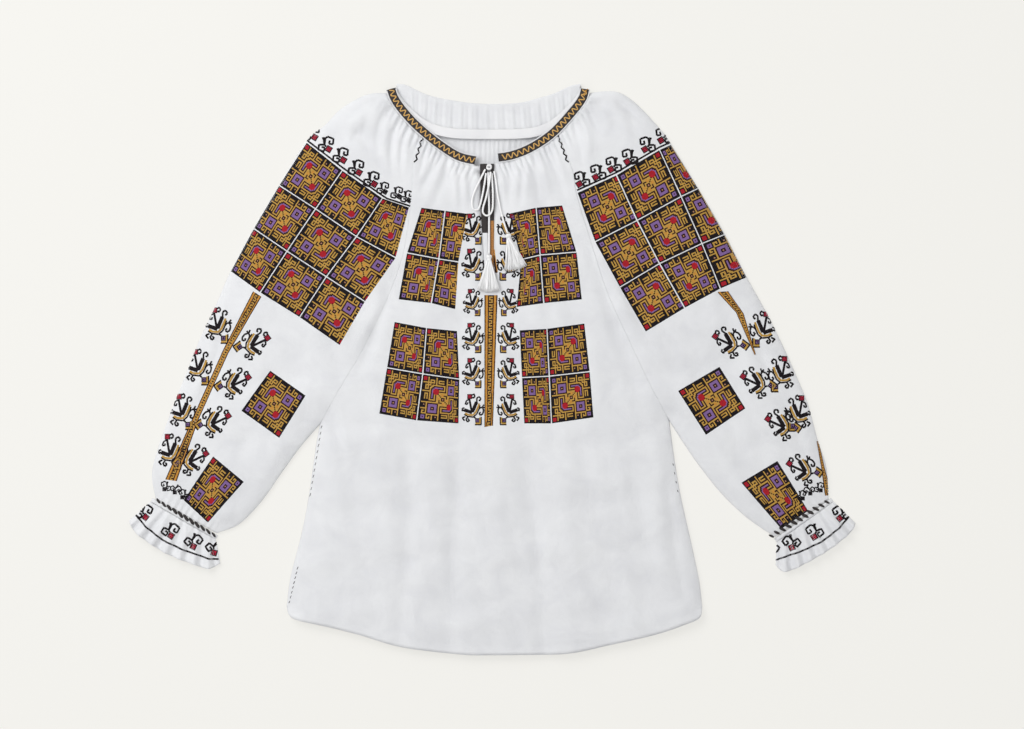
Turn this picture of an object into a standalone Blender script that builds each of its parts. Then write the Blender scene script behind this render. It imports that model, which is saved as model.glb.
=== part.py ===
# An embroidered peasant blouse lying flat on its back: raglan sleeves gathered
# into a narrow neckband, a bound front slit tied with a tasselled drawstring,
# and cuffs gathered into frills. Plan sizes are in millimetres, +X to the
# wearer's left, +Y towards the neck, +Z up, with the floor at Z = 0.
import math

import bmesh
import bpy
import numpy as np

MM = 0.001

# Driving sizes.
CLOTH = 1.2            # linen wall
SEAM = 0.3             # gap between sewn pieces
EDGE_RADIUS = 4.0      # half height of the soft roll at a folded edge
CROWN = 15.0           # height of the upper layer away from its edges
CROWN_REACH = 55.0     # how far from an edge the upper layer reaches its crown
TIP_GAP = 1.6           # gap at the very end of a raglan seam
FLOOR_SEAM_START = 0.04
BACK_ROLL = 2.4        # half height of the roll at the back of the neck
BAND_WIDTH = 12.6
BAND_WALL = 1.8
BAND_GAP = 0.5         # clear of the gathered edge, whose ripples lean towards it
BAND_FRONT_Z = 9.9     # middle of the band's front half at the shoulder tips
BAND_BACK_Z = 7.0      # middle of the band's back half
NECK_DIP_Z = 11.4      # cloth height where it is gathered into the band
NECK_DIP_REACH = 22.0
WRIST_CROWN = 9.4      # height of the sleeve where it is gathered at the wrist
WRIST_HALF = 48.0      # half the gathered width
WRIST_DIP_REACH = 30.0
FRILL_CROWN = 13.9     # height of a frill's middle at its free edge
BAND_RISE = 1.1        # how far the band climbs from the tips to the front
BAND_END_SHARE = 0.975
BINDING_WALL = 1.6
BINDING_PROUD = 0.3
SLIT_TOP = 266.5
CORD = 2.6             # drawstring diameter
KNOT_SIZE = (4.6, 4.8, 2.7)
FRILL_WAVES = 7        # waves on each side of a cuff frill
FRILL_PHASE = 0.6
BACK_GATHERS = 15      # gathers across the back of the neck
BACK_RIPPLE = 0.7      # their height
FOLD_FADE = 14.0       # folds fade out this near to a folded edge
LIGHT_THREAD = (0.85, 0.84, 0.82)
LINEN = (0.80, 0.80, 0.81)
DARK_THREAD = (0.03, 0.02, 0.02)
MIXED_THREAD = (0.20, 0.19, 0.19)

# Outline of the blouse seen from above, columns x, y.
RAGLAN_FRONT = {
    "left": [(-93, 300), (-102, 271), (-104, 240), (-106, 211), (-116, 147),
             (-138, 87), (-168, 25), (-197, -24), (-224, -72)],
    "right": [(87, 301), (100, 271), (107, 249), (110, 226), (130, 160),
              (150, 99), (178, 37), (202, -14), (230, -67)]}
SLEEVE_OUTER = {
    "left": [(-136.6, 358.3), (-154, 358.5), (-172, 353), (-198, 337), (-217, 317), (-241, 297), (-277, 239),
             (-310, 183), (-340, 127), (-359, 83), (-379, 41), (-397, -4), (-416, -52),
             (-434, -102), (-442, -136), (-437, -169)],
    "right": [(126.6, 358.7), (146, 361), (166, 359), (189, 343), (219, 311), (232, 293), (267, 236),
              (302, 176), (331, 119), (358, 70), (382, 21), (396, -11), (410, -45),
              (423, -93), (434, -127), (437, -169)]}
SLEEVE_UNDER = {
    "left": [(-224, -72), (-249, -101), (-273, -134), (-299, -171), (-328, -201), (-358, -213)],
    "right": [(230, -67), (249, -97), (270, -127), (299, -163), (331, -193), (367, -218)]}
SIDE = {
    "left": [(-224, -72), (-229, -100), (-238, -163), (-248, -215), (-262, -270), (-267, -308)],
    "right": [(230, -67), (237, -118), (245, -165), (258, -223), (269, -275), (273, -309)]}
HEM = {
    "left": [(-267, -308), (-263, -320), (-251, -326), (-215, -334), (-171, -345),
             (-125, -359), (-80, -366), (-33, -370.6), (-6, -371)],
    "right": [(273, -309), (269, -323), (251, -331), (213, -344), (156, -357),
              (98, -369), (37, -370.6), (2, -371)]}
BACK_RAGLAN_TOP = {"left": (-131, 355), "right": (121, 355)}
BACK_TOP = [(-124, 371), (-111, 369), (-85, 357), (-55, 350), (-16, 345), (33, 346),
            (62, 353), (82, 359), (101, 368), (115, 371)]
BACK_FLAP_END = [(-117, 343), (-95, 318), (-75, 304), (-45, 299), (-3, 298), (43, 299),
                 (70, 304), (91, 318), (109, 343)]

# Neckband centre line seen from above, columns x, y, from the shoulder tip.
BAND_FRONT = {
    "left": [(-132, 366), (-125, 348), (-105, 323), (-82, 302), (-59, 285), (-41, 275),
             (-18, 270)],
    "right": [(121, 366), (117, 351), (100, 329), (76, 304), (48, 286), (24, 277), (4, 274)]}
BAND_BACK = [(-132, 366), (-116, 341), (-96, 322), (-77, 312), (-48, 306), (-3, 305),
             (43, 306), (69, 312), (88, 324), (108, 345), (121, 366)]

# Front slit, columns y, left edge x, right edge x.
SLIT = [(268, -16.0, 2.6), (210, -15.0, 2.8), (150, -11.5, 2.4), (109.5, -9.0, 1.0)]
SLIT_GAP = [(268, -6.8, -2.0), (210, -6.4, -2.2), (150, -5.0, -2.6), (109.5, -4.4, -3.2)]
SLIT_END = 109.5

# Folds of the upper layer, as soft ridges (height > 0) and troughs (height < 0)
# along a curve. Columns: name, start x, y, middle x, y, end x, y, half width,
# height, strength at the start, strength at the end.
FOLDS = [
    ("front left 1", -83, 291, -90, 268, -99, 236, 3.5, -1.6, 0.4, 0),
    ("front left 2", -77, 285, -87, 262, -99, 238, 3.5, 1.2, 0.4, 0),
    ("front left 3", -68, 276, -82, 251, -99, 224, 3.5, -2, 0.4, 0.1),
    ("front left 4", -60, 271, -73, 246, -89, 212, 5, 1.8, 0.4, 0.2),
    ("front left 5", -55, 269, -63, 243, -80, 204, 5, -1.8, 0.4, 0.2),
    ("front left 6", -50, 268, -47, 239, -47, 202, 4.5, 1.6, 0.4, 0.2),
    ("front left 7", -43, 267, -42, 239, -39, 204, 4, -1.4, 0.4, 0.2),
    ("front left 8", -37, 265, -35, 239, -33, 204, 4, 1.2, 0.4, 0.2),
    ("front left 9", -28, 264, -28, 239, -29, 212, 4, -1.3, 0.4, 0.1),
    ("front right 1", 5, 264, 5, 241, 2, 213, 4, -1.1, 0.4, 0.1),
    ("front right 2", 11, 265, 14, 239, 17, 210, 4, 1.3, 0.4, 0.1),
    ("front right 3", 23, 267, 23, 241, 21, 210, 4.5, -1.5, 0.4, 0.1),
    ("front right 4", 34, 268, 32, 243, 30, 210, 4.5, 1.3, 0.4, 0.1),
    ("front right 5", 40, 271, 39, 243, 35, 204, 4, -1.3, 0.4, 0.1),
    ("front right 6", 47, 275, 45, 246, 44, 207, 4.5, 1.5, 0.4, 0.1),
    ("front right 7", 53, 277, 57, 246, 61, 207, 4.5, -1.6, 0.4, 0.1),
    ("front right 8", 62, 282, 69, 249, 76, 210, 5, 1.8, 0.4, 0.1),
    ("front right 9", 71, 288, 83, 256, 96, 215, 4.5, -1.5, 0.4, 0.1),
    ("front right 10", 79, 294, 89, 265, 102, 226, 4, 1.4, 0.4, 0),
    ("sleeve left 1", -128, 338, -147, 314, -145, 259, 4.5, -2.6, 0.3, 0.1),
    ("sleeve left 2", -120, 330, -138, 303, -135, 249, 5, 2.4, 0.3, 0.1),
    ("sleeve left 3", -117, 323, -130, 295, -128, 249, 4, -1.8, 0.4, 0),
    ("sleeve left 4", -113, 319, -122, 288, -121, 241, 4.5, 1.8, 0.4, 0.1),
    ("sleeve left 5", -108, 315, -117, 288, -119, 243, 3.8, -1.6, 0.4, 0),
    ("sleeve left 6", -104, 310, -111, 282, -112, 241, 4.2, 1.6, 0.4, 0),
    ("sleeve left 7", -185, 308, -167, 298, -151, 267, 9, -4, 0, 0.1),
    ("sleeve left 8", -164, 321, -178, 321, -198, 314, 12, 2.6, 0, 0),
    ("sleeve left 9", -146, 354, -169, 342, -191, 321, 6, -1.6, 0.2, 0),
    ("sleeve right 1", 104, 324, 108, 308, 105, 285, 4, -1.5, 0.4, 0),
    ("sleeve right 2", 113, 332, 125, 301, 122, 264, 5, 1.8, 0.4, 0),
    ("sleeve right 3", 106, 311, 114, 288, 117, 249, 4.5, -1.8, 0.4, 0),
    ("sleeve right 4", 125, 347, 138, 345, 153, 334, 4.5, -1.8, 0.3, 0),
    ("sleeve right 5", 126, 340, 132, 321, 140, 298, 5, -1.8, 0.3, 0),
    ("sleeve right 6", 135, 342, 148, 327, 149, 301, 6, 1.8, 0.2, 0),
    ("sleeve right 7", 156, 347, 177, 337, 203, 315, 6, -3, 0.1, 0),
    ("sleeve right 8", 171, 337, 182, 317, 188, 295, 6, -1.6, 0.2, 0),
    ("body 1", -216, -43, -203, -76, -182, -144, 7, -3.8, 0.3, 0),
    ("body 2", -190, -105, -180, -157, -172, -229, 12, -2.2, 0, 0),
    ("body 3", -156, -73, -151, -112, -143, -170, 16, 2, 0, 0),
    ("body 4", -111, -71, -108, -183, -120, -359, 12, -3, 0.2, 0.8),
    ("body 5", -78, -79, -81, -196, -83, -362, 15, 1.8, 0.2, 0.7),
    ("body 6", -41, -73, -48, -196, -56, -365, 12, -2.8, 0.3, 0.6),
    ("body 7", 4, -79, 0, -196, 6, -368, 18, 2.2, 0.2, 0.6),
    ("body 8", 40, -71, 56, -196, 67, -368, 12, -3.4, 0.3, 0.8),
    ("body 9", 96, -73, 104, -196, 122, -359, 18, 2.2, 0.2, 0.6),
    ("body 10", 177, -92, 195, -196, 208, -336, 14, -1.8, 0, 0.4),
    ("body 11", 223, -131, 234, -196, 247, -295, 9, -2.6, 0, 0.3),
    ("body 12", 119, 191, 144, 103, 192, -30, 10, -3.2, 0.1, 0.2),
    ("body 13", -128, 121, -154, 41, -176, -11, 8, -3.4, 0.1, 0.1),
    ("sleeve roll right", 127, 178, 161, 100, 223, -30, 8, 2.6, 0.1, 0.2),
    ("sleeve roll left", -135, 103, -164, 54, -193, 2, 7, 2, 0, 0.1),
    ("lower left 1", -338, 90, -364, -4, -411, -115, 8, -2.6, 0.1, 0.2),
    ("lower left 2", -263, 22, -299, -53, -351, -170, 12, -1.6, 0, 0.3),
    ("lower left 3", -237, 4, -271, -92, -333, -186, 12, 1.8, 0, 0.2),
    ("lower right 1", 325, 90, 359, -4, 411, -113, 9, -2.4, 0.1, 0.2),
    ("lower right 2", 257, 31, 299, -53, 359, -165, 12, -1.6, 0, 0.3),
    ("lower right 3", 223, 22, 270, -71, 343, -180, 11, 1.8, 0, 0.2),
]

# Cuffs seen from above: the wrist line and the frill's outer edge, columns x, y,
# both from the sleeve's outer side to its underarm side.
WRIST = {"left": [(-441, -167), (-356, -216)], "right": [(440, -167), (366, -220)]}
WRIST_DEPTH = 5.5
WRIST_WALL = 1.6
WRIST_PROUD = 1.6      # how far the gathering stitch stands above the sleeve
FRILL_RIPPLE = (0.5, 3.7)
FRILL_EDGE = {
    "left": [(-472, -197), (-462, -213), (-432, -234), (-410, -245), (-388, -253),
             (-368, -259), (-353, -252)],
    "right": [(472, -200), (466, -211), (442, -231), (414, -248), (388, -261),
              (376, -262), (368, -254)]}

# Drawstring routes seen from above, columns x, y, starting beside the knot.
KNOT = (-4.0, 262.0)
CORD_ROUTES = {
    "loop_left": [(-9, 259), (-15, 247), (-22, 232), (-26, 219), (-25, 209), (-20, 206),
                  (-16, 212), (-13, 224), (-10, 240), (-8, 254)],
    "loop_right": [(-2, 255.5), (-4, 240), (-8, 222), (-12, 208), (-11, 201), (-5, 199),
                   (0, 206), (1, 220), (0.5, 238), (-0.5, 254)],
    "tail_left": [(-5, 255), (-5, 236), (-4, 215), (-4, 190), (-4, 168), (-4, 149.5)],
    "tail_right": [(2.5, 256.5), (5, 242), (7, 226), (11, 206), (16, 188), (20, 176.5)]}
# Height of each cord above the cloth, columns at the start, middle and end.
CORD_LIFT = {"loop_left": (3.2, 0.6, 1.6), "loop_right": (3.7, 3.6, 0.8),
             "tail_left": (0.8, 0.5, 2.0), "tail_right": (1.6, 0.6, 2.0)}
# Tassels: where the cord enters the head, and the direction the skirt hangs.
TASSELS = {"tassel_left": ((-4, 149), (-0.02, -1.0)), "tassel_right": ((20.2, 176), (0.22, -0.98))}
TASSEL_HEAD = 8.5
# The head's outline: distance along it and radius.
TASSEL_PROFILE = [(0.3, 1.2), (1.3, 2.7), (3.6, 3.2), (5.8, 2.5), (6.8, 2.2), (8.5, 3.4)]
TASSEL_REST = 3.7      # middle of a tassel above the highest cloth below it
TASSEL_SKIRT = 41.0
TASSEL_SPREAD = 15.0
TASSEL_STRANDS = (10, 3)


def clear_scene():
    for obj in list(bpy.data.objects):
        bpy.data.objects.remove(obj, do_unlink=True)


def finish_material(name, colour, roughness):
    mat = bpy.data.materials.new(name)
    mat.use_nodes = True
    shader = mat.node_tree.nodes["Principled BSDF"]
    shader.inputs["Base Color"].default_value = (*colour, 1.0)
    shader.inputs["Roughness"].default_value = roughness
    shader.inputs["Metallic"].default_value = 0.0
    return mat


class Curve:
    """A smooth curve through hand-set points, read by the share of its length."""

    def __init__(self, points, steps=12):
        pts = np.array(points, float)
        ends = np.vstack([2 * pts[0] - pts[1], pts, 2 * pts[-1] - pts[-2]])
        fine = []
        for a, b, c, d in zip(ends, ends[1:], ends[2:], ends[3:]):
            for k in range(steps):
                t = k / steps
                fine.append(0.5 * (2 * b + (c - a) * t + (2 * a - 5 * b + 4 * c - d) * t ** 2
                                   + (3 * b - a - 3 * c + d) * t ** 3))
        fine.append(pts[-1])
        self.fine = np.array(fine)
        lengths = np.linalg.norm(np.diff(self.fine, axis=0), axis=1)
        self.along = np.concatenate([[0], np.cumsum(lengths)])
        self.length = self.along[-1]

    def at(self, share):
        where = np.asarray(share, float) * self.length
        return np.stack([np.interp(where, self.along, self.fine[:, k])
                         for k in range(self.fine.shape[1])], axis=-1)

    def side(self, share):
        """Unit vector to the right of the direction of travel."""
        step = 0.004
        share = np.asarray(share, float)
        run = self.at(np.minimum(share + step, 1)) - self.at(np.maximum(share - step, 0))
        run = run / np.linalg.norm(run, axis=-1, keepdims=True)
        return np.stack([run[..., 1], -run[..., 0]], axis=-1)


def smooth(x):
    x = np.clip(x, 0, 1)
    return x * x * (3 - 2 * x)


raglan = {side: Curve(RAGLAN_FRONT[side]) for side in RAGLAN_FRONT}
outer = {side: Curve(SLEEVE_OUTER[side]) for side in SLEEVE_OUTER}
under = {side: Curve(SLEEVE_UNDER[side]) for side in SLEEVE_UNDER}
body_side = {side: Curve(SIDE[side]) for side in SIDE}
hem = {side: Curve(HEM[side]) for side in HEM}
band_front = {side: Curve(BAND_FRONT[side]) for side in BAND_FRONT}
band_back = Curve(BAND_BACK)


def band_edge(side):
    """The neckband's sewn edge, from the shoulder tip to the front slit."""
    line = band_front[side]
    share = np.linspace(0, 1, 61)
    out = 1 if side == "left" else -1
    return Curve(line.at(share) + line.side(share) * out * (BAND_WIDTH / 2 + BAND_GAP), steps=1)


neck_edge = {side: band_edge(side) for side in band_front}

# Folded edges of the flat blouse, each run with the cloth on its left.
FOLDED_EDGES = [outer["left"].fine,
                np.vstack([under["left"].fine[::-1], body_side["left"].fine[1:]]),
                outer["right"].fine[::-1],
                np.vstack([body_side["right"].fine[::-1], under["right"].fine[1:]])]


def nearest(points, lines, tie=0.05):
    """Distance to the nearest of some lines and the unit direction away from it."""
    start = np.vstack([line[:-1] for line in lines])
    run = np.vstack([np.diff(line, axis=0) for line in lines])
    flat = points.reshape(-1, 2)
    away = flat[:, None, :] - start[None]
    share = np.clip((away * run).sum(-1) / (run ** 2).sum(-1), 0, 1)
    away = away - share[..., None] * run
    dist = np.linalg.norm(away, axis=-1)
    best = dist.min(axis=1)
    left = np.stack([-run[:, 1], run[:, 0]], axis=-1)
    left /= np.linalg.norm(left, axis=-1, keepdims=True)
    close = (dist < best[:, None] + tie).astype(float)
    edge_dir = close @ left
    edge_dir /= np.linalg.norm(edge_dir, axis=-1, keepdims=True)
    pick = away[np.arange(len(flat)), dist.argmin(axis=1)]
    direction = np.where(best[:, None] > tie, pick / np.maximum(best, tie)[:, None], edge_dir)
    return best.reshape(points.shape[:-1]), direction.reshape(points.shape)


def crown(d):
    k = 1 - np.clip(d / CROWN_REACH, 0, 1)
    return EDGE_RADIUS + (CROWN - EDGE_RADIUS) * np.sqrt(1 - k * k)


def crown_slope(d):
    k = 1 - np.clip(d / CROWN_REACH, 1e-7, 1)
    return (CROWN - EDGE_RADIUS) * k / (CROWN_REACH * np.sqrt(1 - k * k))


def fold_curve(row):
    x0, y0, x1, y1, x2, y2 = row[1:7]
    t = np.linspace(0, 1, 9)[:, None]
    mid = 2 * np.array([x1, y1]) - (np.array([x0, y0]) + np.array([x2, y2])) / 2
    return (1 - t) ** 2 * np.array([x0, y0]) + 2 * t * (1 - t) * mid + t ** 2 * np.array([x2, y2])


fold_lines = [(fold_curve(row), row[7], row[8], row[9], row[10]) for row in FOLDS]


def fold_height(points):
    """Sum of all ridges and troughs at plan points."""
    flat = points.reshape(-1, 2)
    total = np.zeros(len(flat))
    for line, width, height, first, last in fold_lines:
        run = np.diff(line, axis=0)
        away = flat[:, None, :] - line[None, :-1]
        share = np.clip((away * run).sum(-1) / (run ** 2).sum(-1), 0, 1)
        dist = np.linalg.norm(away - share[..., None] * run, axis=-1)
        pick = dist.argmin(axis=1)
        near = dist[np.arange(len(flat)), pick]
        along = (pick + share[np.arange(len(flat)), pick]) / len(run)
        window = first + (1 - first) * smooth(along / 0.3)
        window = window * (1 + (last - 1) * smooth((along - 0.55) / 0.45))
        total += height * window * np.exp(-(near / width) ** 2)
    return total.reshape(points.shape[:-1])


def wrist_height(d):
    k = 1 - np.clip(d / WRIST_HALF, 0, 1)
    return EDGE_RADIUS + (WRIST_CROWN - EDGE_RADIUS) * np.sqrt(1 - k * k)


def relief(points, d):
    """What the folds and the dips towards the neckband and wrists add to the crown."""
    total = fold_height(points)
    neck, _ = nearest(points, [neck_edge["left"].fine, neck_edge["right"].fine])
    dip = np.exp(-(neck / NECK_DIP_REACH) ** 2)
    total = total + dip * (NECK_DIP_Z - crown(d))
    wrist, _ = nearest(points, [np.array(WRIST[side], float) for side in WRIST])
    wrist_dip = np.exp(-(wrist / WRIST_DIP_REACH) ** 2)
    return total * smooth(d / FOLD_FADE) + wrist_dip * (wrist_height(d) - crown(d))


def upper(points):
    """Height and outward normal of the upper layer's outer face."""
    d, inward = nearest(points, FOLDED_EDGES)
    step = 0.4
    grad = []
    for axis in (0, 1):
        shift = np.zeros(2)
        shift[axis] = step
        above = points + shift
        below = points - shift
        grad.append((relief(above, nearest(above, FOLDED_EDGES)[0])
                     - relief(below, nearest(below, FOLDED_EDGES)[0])) / (2 * step))
    slope = crown_slope(d)[..., None] * inward + np.stack(grad, axis=-1) * smooth(d / 6)[..., None]
    normal = np.concatenate([-slope, np.ones(slope.shape[:-1] + (1,))], axis=-1)
    normal /= np.linalg.norm(normal, axis=-1, keepdims=True)
    z = crown(d) + relief(points, d) + SEAM / 2
    return np.concatenate([points, z[..., None]], axis=-1), normal


def lower(points):
    """The layer on the floor, turned up in a quarter roll at the folded edges."""
    d, inward = nearest(points, FOLDED_EDGES)
    k = 1 - np.clip(d / EDGE_RADIUS, 0, 1)
    z = EDGE_RADIUS - EDGE_RADIUS * np.sqrt(1 - k * k) - SEAM / 2 * k * k
    normal = np.concatenate([-inward * k[..., None], -np.sqrt(1 - k * k)[..., None]], axis=-1)
    return np.concatenate([points, z[..., None]], axis=-1), normal


def wall_object(name, faces_out, normals, thickness, mat, skip=None, wrap=False):
    """A cloth wall: a grid of outer points, the same points moved in, and rims.
    Both faces are cut along the same diagonals, so that they never cross."""
    rows, cols = faces_out.shape[:2]
    inner = faces_out - normals * thickness
    verts = np.vstack([faces_out.reshape(-1, 3), inner.reshape(-1, 3)]) * MM
    half = rows * cols
    last = cols if wrap else cols - 1
    cells = [(r, c) for r in range(rows - 1) for c in range(last)
             if skip is None or not skip(r, c)]
    faces = []
    edges = {}
    for r, c in cells:
        nxt = (c + 1) % cols
        quad = (r * cols + c, r * cols + nxt, (r + 1) * cols + nxt, (r + 1) * cols + c)
        for tri in ((quad[0], quad[1], quad[2]), (quad[0], quad[2], quad[3])):
            faces.append(tri)
            faces.append(tuple(half + k for k in reversed(tri)))
        for a, b in zip(quad, quad[1:] + quad[:1]):
            if (b, a) in edges:
                del edges[(b, a)]
            else:
                edges[(a, b)] = True
    faces += [(b, a, half + a, half + b) for a, b in edges]
    used = sorted({k for face in faces for k in face})
    new = {k: n for n, k in enumerate(used)}
    return mesh_object(name, [verts[k] for k in used],
                       [tuple(new[k] for k in face) for face in faces], mat)


def mesh_object(name, verts, faces, mat):
    mesh = bpy.data.meshes.new(name)
    mesh.from_pydata([tuple(v) for v in verts], [], faces)
    mesh.validate()
    mesh.calc_loop_triangles()
    corner = np.array([[mesh.vertices[k].co[:] for k in tri.vertices] for tri in mesh.loop_triangles])
    if np.einsum("ij,ij->i", corner[:, 0], np.cross(corner[:, 1], corner[:, 2])).sum() < 0:
        mesh.flip_normals()
    mesh.shade_smooth()
    mesh.materials.append(mat)
    obj = bpy.data.objects.new(name, mesh)
    bpy.context.scene.collection.objects.link(obj)
    return obj


def blend_patch(first, last, top, bottom, rows, cols):
    """Plan points between four edges; first and last run down, top and bottom across."""
    v = rows[:, None, None]
    u = cols[None, :, None]
    a, b = first[:, None], last[:, None]
    t, m = top[None], bottom[None]
    corners = ((1 - u) * (1 - v) * first[0] + u * (1 - v) * last[0]
               + (1 - u) * v * first[-1] + u * v * last[-1])
    return (1 - u) * a + u * b + (1 - v) * t + v * m - corners


# Rows shared by the pieces that meet at the raglan and side seams.
RAGLAN_ROWS = np.array([0, .07, .15, .22, .29, .36, .43, .51, .59, .67, .75, .83, .90, .955, .985, 1])
SIDE_ROWS = np.array([.1, .26, .44, .62, .8, .93, 1])
EDGE_COLS = [0, .012, .04, .09]
# Share of a sleeve's outer edge that lies level with the underarm point.
SLEEVE_NOTCH = {"left": 0.625, "right": 0.615}
SLIT_ROWS = 6          # rows of the front panel that the slit runs through


def seam_inset(curve, rows, toward):
    """Points of a seam line moved half a seam's gap to one side."""
    return curve.at(rows) + curve.side(rows) * toward * SEAM / 2


def half_front(side):
    """Plan points of one half of the front, columns from the side to the slit."""
    sign = 1 if side == "left" else -1
    cols = np.concatenate([EDGE_COLS, np.linspace(.15, 1, 14)])
    seam = seam_inset(raglan[side], RAGLAN_ROWS, -sign)
    edge = np.vstack([seam, body_side[side].at(SIDE_ROWS)])
    travel = np.concatenate([RAGLAN_ROWS, 1 + SIDE_ROWS * .74])
    rows = travel / travel[-1]
    neck = neck_edge[side]
    start = neck_share(side)
    top = neck.at(start + (0.985 - start) * cols)
    top[0] = edge[0]
    bottom = hem[side].at(cols)
    y = top[-1, 1] + (bottom[-1, 1] - top[-1, 1]) * rows
    y[SLIT_ROWS] = SLIT_END
    column = 1 if side == "left" else 2
    table = np.array(SLIT)[::-1]
    x = np.interp(y, table[:, 0], table[:, column])
    x = np.where(y < SLIT_END, x + (bottom[-1, 0] - x) * (SLIT_END - y) / (SLIT_END - y[-1]), x)
    inner_edge = np.stack([x, y], axis=-1)
    top[-1] = inner_edge[0]
    return blend_patch(edge, inner_edge, top, bottom, rows, cols)


def neck_share(side):
    """Where the front raglan seam meets the neckband's sewn edge."""
    neck = neck_edge[side]
    share = np.linspace(0, 1, 400)
    gap = np.linalg.norm(neck.at(share) - raglan[side].at(0), axis=-1)
    return share[gap.argmin()]


def build_front(mat):
    left = half_front("left")
    right = half_front("right")[:, ::-1]
    plan = np.concatenate([left, right], axis=1)
    points, normals = upper(plan)
    centre = left.shape[1] - 1
    return wall_object("front_panel", points, normals, CLOTH, mat,
                       skip=lambda r, c: c == centre and r < SLIT_ROWS)


def back_seam(side, rows):
    """Back raglan seam on the floor, from the neck tip to the underarm."""
    top = np.array(BACK_RAGLAN_TOP[side], float)
    notch = raglan[side].at(1)
    return top + (notch - top) * np.asarray(rows)[:, None]


def build_back(mat):
    cols = np.concatenate([[0, .003, .0075, .025], np.linspace(.05, .95, 31), [.975, .9925, .997, 1]])
    up_rows = np.linspace(0.2, 1, 5)
    edges = {}
    for side, sign in (("left", 1), ("right", -1)):
        seam = back_seam(side, 1 - up_rows) + np.array([sign * SEAM / 2, 0])
        edges[side] = np.vstack([body_side[side].at(SIDE_ROWS[::-1]),
                                 back_seam(side, [1.0]) + np.array([sign * SEAM / 2, 0]), seam])
    rows = np.linspace(0, 1, len(edges["left"]))
    hem_line = Curve(np.vstack([hem["left"].fine, hem["right"].fine[::-1]]), steps=1)
    top_line = Curve(BACK_TOP)
    roll = top_line.at(cols) - np.array([0, BACK_ROLL])
    edges["left"][-1] = roll[0]
    edges["right"][-1] = roll[-1]
    plan = blend_patch(edges["left"], edges["right"], hem_line.at(cols), roll, rows, cols)
    points, normals = lower(plan)
    flat = np.arange(len(rows)) == len(rows) - 1
    points[flat, :, 2] = 0
    normals[flat] = (0, 0, -1)
    layers, layer_normals = [points], [normals]
    for turn in (35, 70, 105, 140):
        angle = math.radians(turn)
        ring = np.concatenate([roll, np.zeros((len(cols), 1))], axis=1)
        ring[:, 1] += BACK_ROLL * math.sin(angle)
        ring[:, 2] = BACK_ROLL * (1 - math.cos(angle))
        layers.append(ring[None])
        layer_normals.append(np.tile([0, math.sin(angle), -math.cos(angle)], (1, len(cols), 1)))
    flap_end = Curve(BACK_FLAP_END).at(cols)
    flap_rows = np.array([0, .3, .65, 1])[:, None, None]
    flap = roll[None] * (1 - flap_rows) + flap_end[None] * flap_rows
    ripple = np.sin(2 * math.pi * BACK_GATHERS * cols)[None] * smooth(cols * 12) * smooth(12 - cols * 12)
    swell = np.array([.25, .8, .7, .35])[:, None]
    height = 2 * BACK_ROLL + BACK_RIPPLE * ripple * swell
    across = np.gradient(height, axis=1) / np.gradient(flap[..., 0], axis=1)
    tilt = np.stack([-across, np.zeros_like(across), np.ones_like(across)], axis=-1)
    layers.append(np.concatenate([flap, height[..., None]], axis=-1))
    layer_normals.append(tilt / np.linalg.norm(tilt, axis=-1, keepdims=True))
    return wall_object("back_panel", np.concatenate(layers), np.concatenate(layer_normals), CLOTH, mat)


def build_sleeve(side, mat):
    sign = 1 if side == "left" else -1
    share = np.array([0, .09, .19, .30, .41, .53, .65, .77, .89, 1])[1:]
    inner_edge = np.vstack([seam_inset(raglan[side], RAGLAN_ROWS, sign), under[side].at(share)])
    notch_share = SLEEVE_NOTCH[side]
    outer_share = np.concatenate([RAGLAN_ROWS ** 0.92 * notch_share,
                                  notch_share + (1 - notch_share) * share])
    outer_edge = outer[side].at(outer_share)
    neck = neck_edge[side]
    cols = np.array([0, .012, .04, .09, .16, .25, .36, .48, .6, .72, .83, .91, .96, .988, 1])
    tip = 0.035
    reach = neck_share(side) - tip - TIP_GAP / neck.length
    top = neck.at(tip + reach * (1 - cols))
    inner_edge[0] = top[0]
    top[-1] = outer_edge[0]
    rows = np.linspace(0, 1, len(inner_edge))
    straight = inner_edge[:, None] + (outer_edge - inner_edge)[:, None] * cols[None, :, None]
    bend = (top - straight[0])[None] * np.clip(1 - rows / 0.25, 0, 1)[:, None, None] ** 2
    cover, cover_normals = upper(straight + bend)
    floor_edge = np.vstack([back_seam(side, np.maximum(RAGLAN_ROWS, FLOOR_SEAM_START)) - np.array([sign * SEAM / 2, 0]),
                            inner_edge[len(RAGLAN_ROWS):]])
    back_cols = np.tile([.988, .96, .8, .55, .3, .04, .012, 0], (len(rows), 1))
    back_cols[0] = np.linspace(.875, 0, back_cols.shape[1])
    back_cols[1] = (back_cols[0] + back_cols[2]) / 2
    floor_plan = floor_edge[:, None] + (outer_edge - floor_edge)[:, None] * back_cols[..., None]
    floor, floor_normals = lower(floor_plan)
    points = np.concatenate([cover, floor], axis=1)
    normals = np.concatenate([cover_normals, floor_normals], axis=1)
    return wall_object("sleeve_" + side, points, normals, CLOTH, mat)


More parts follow.
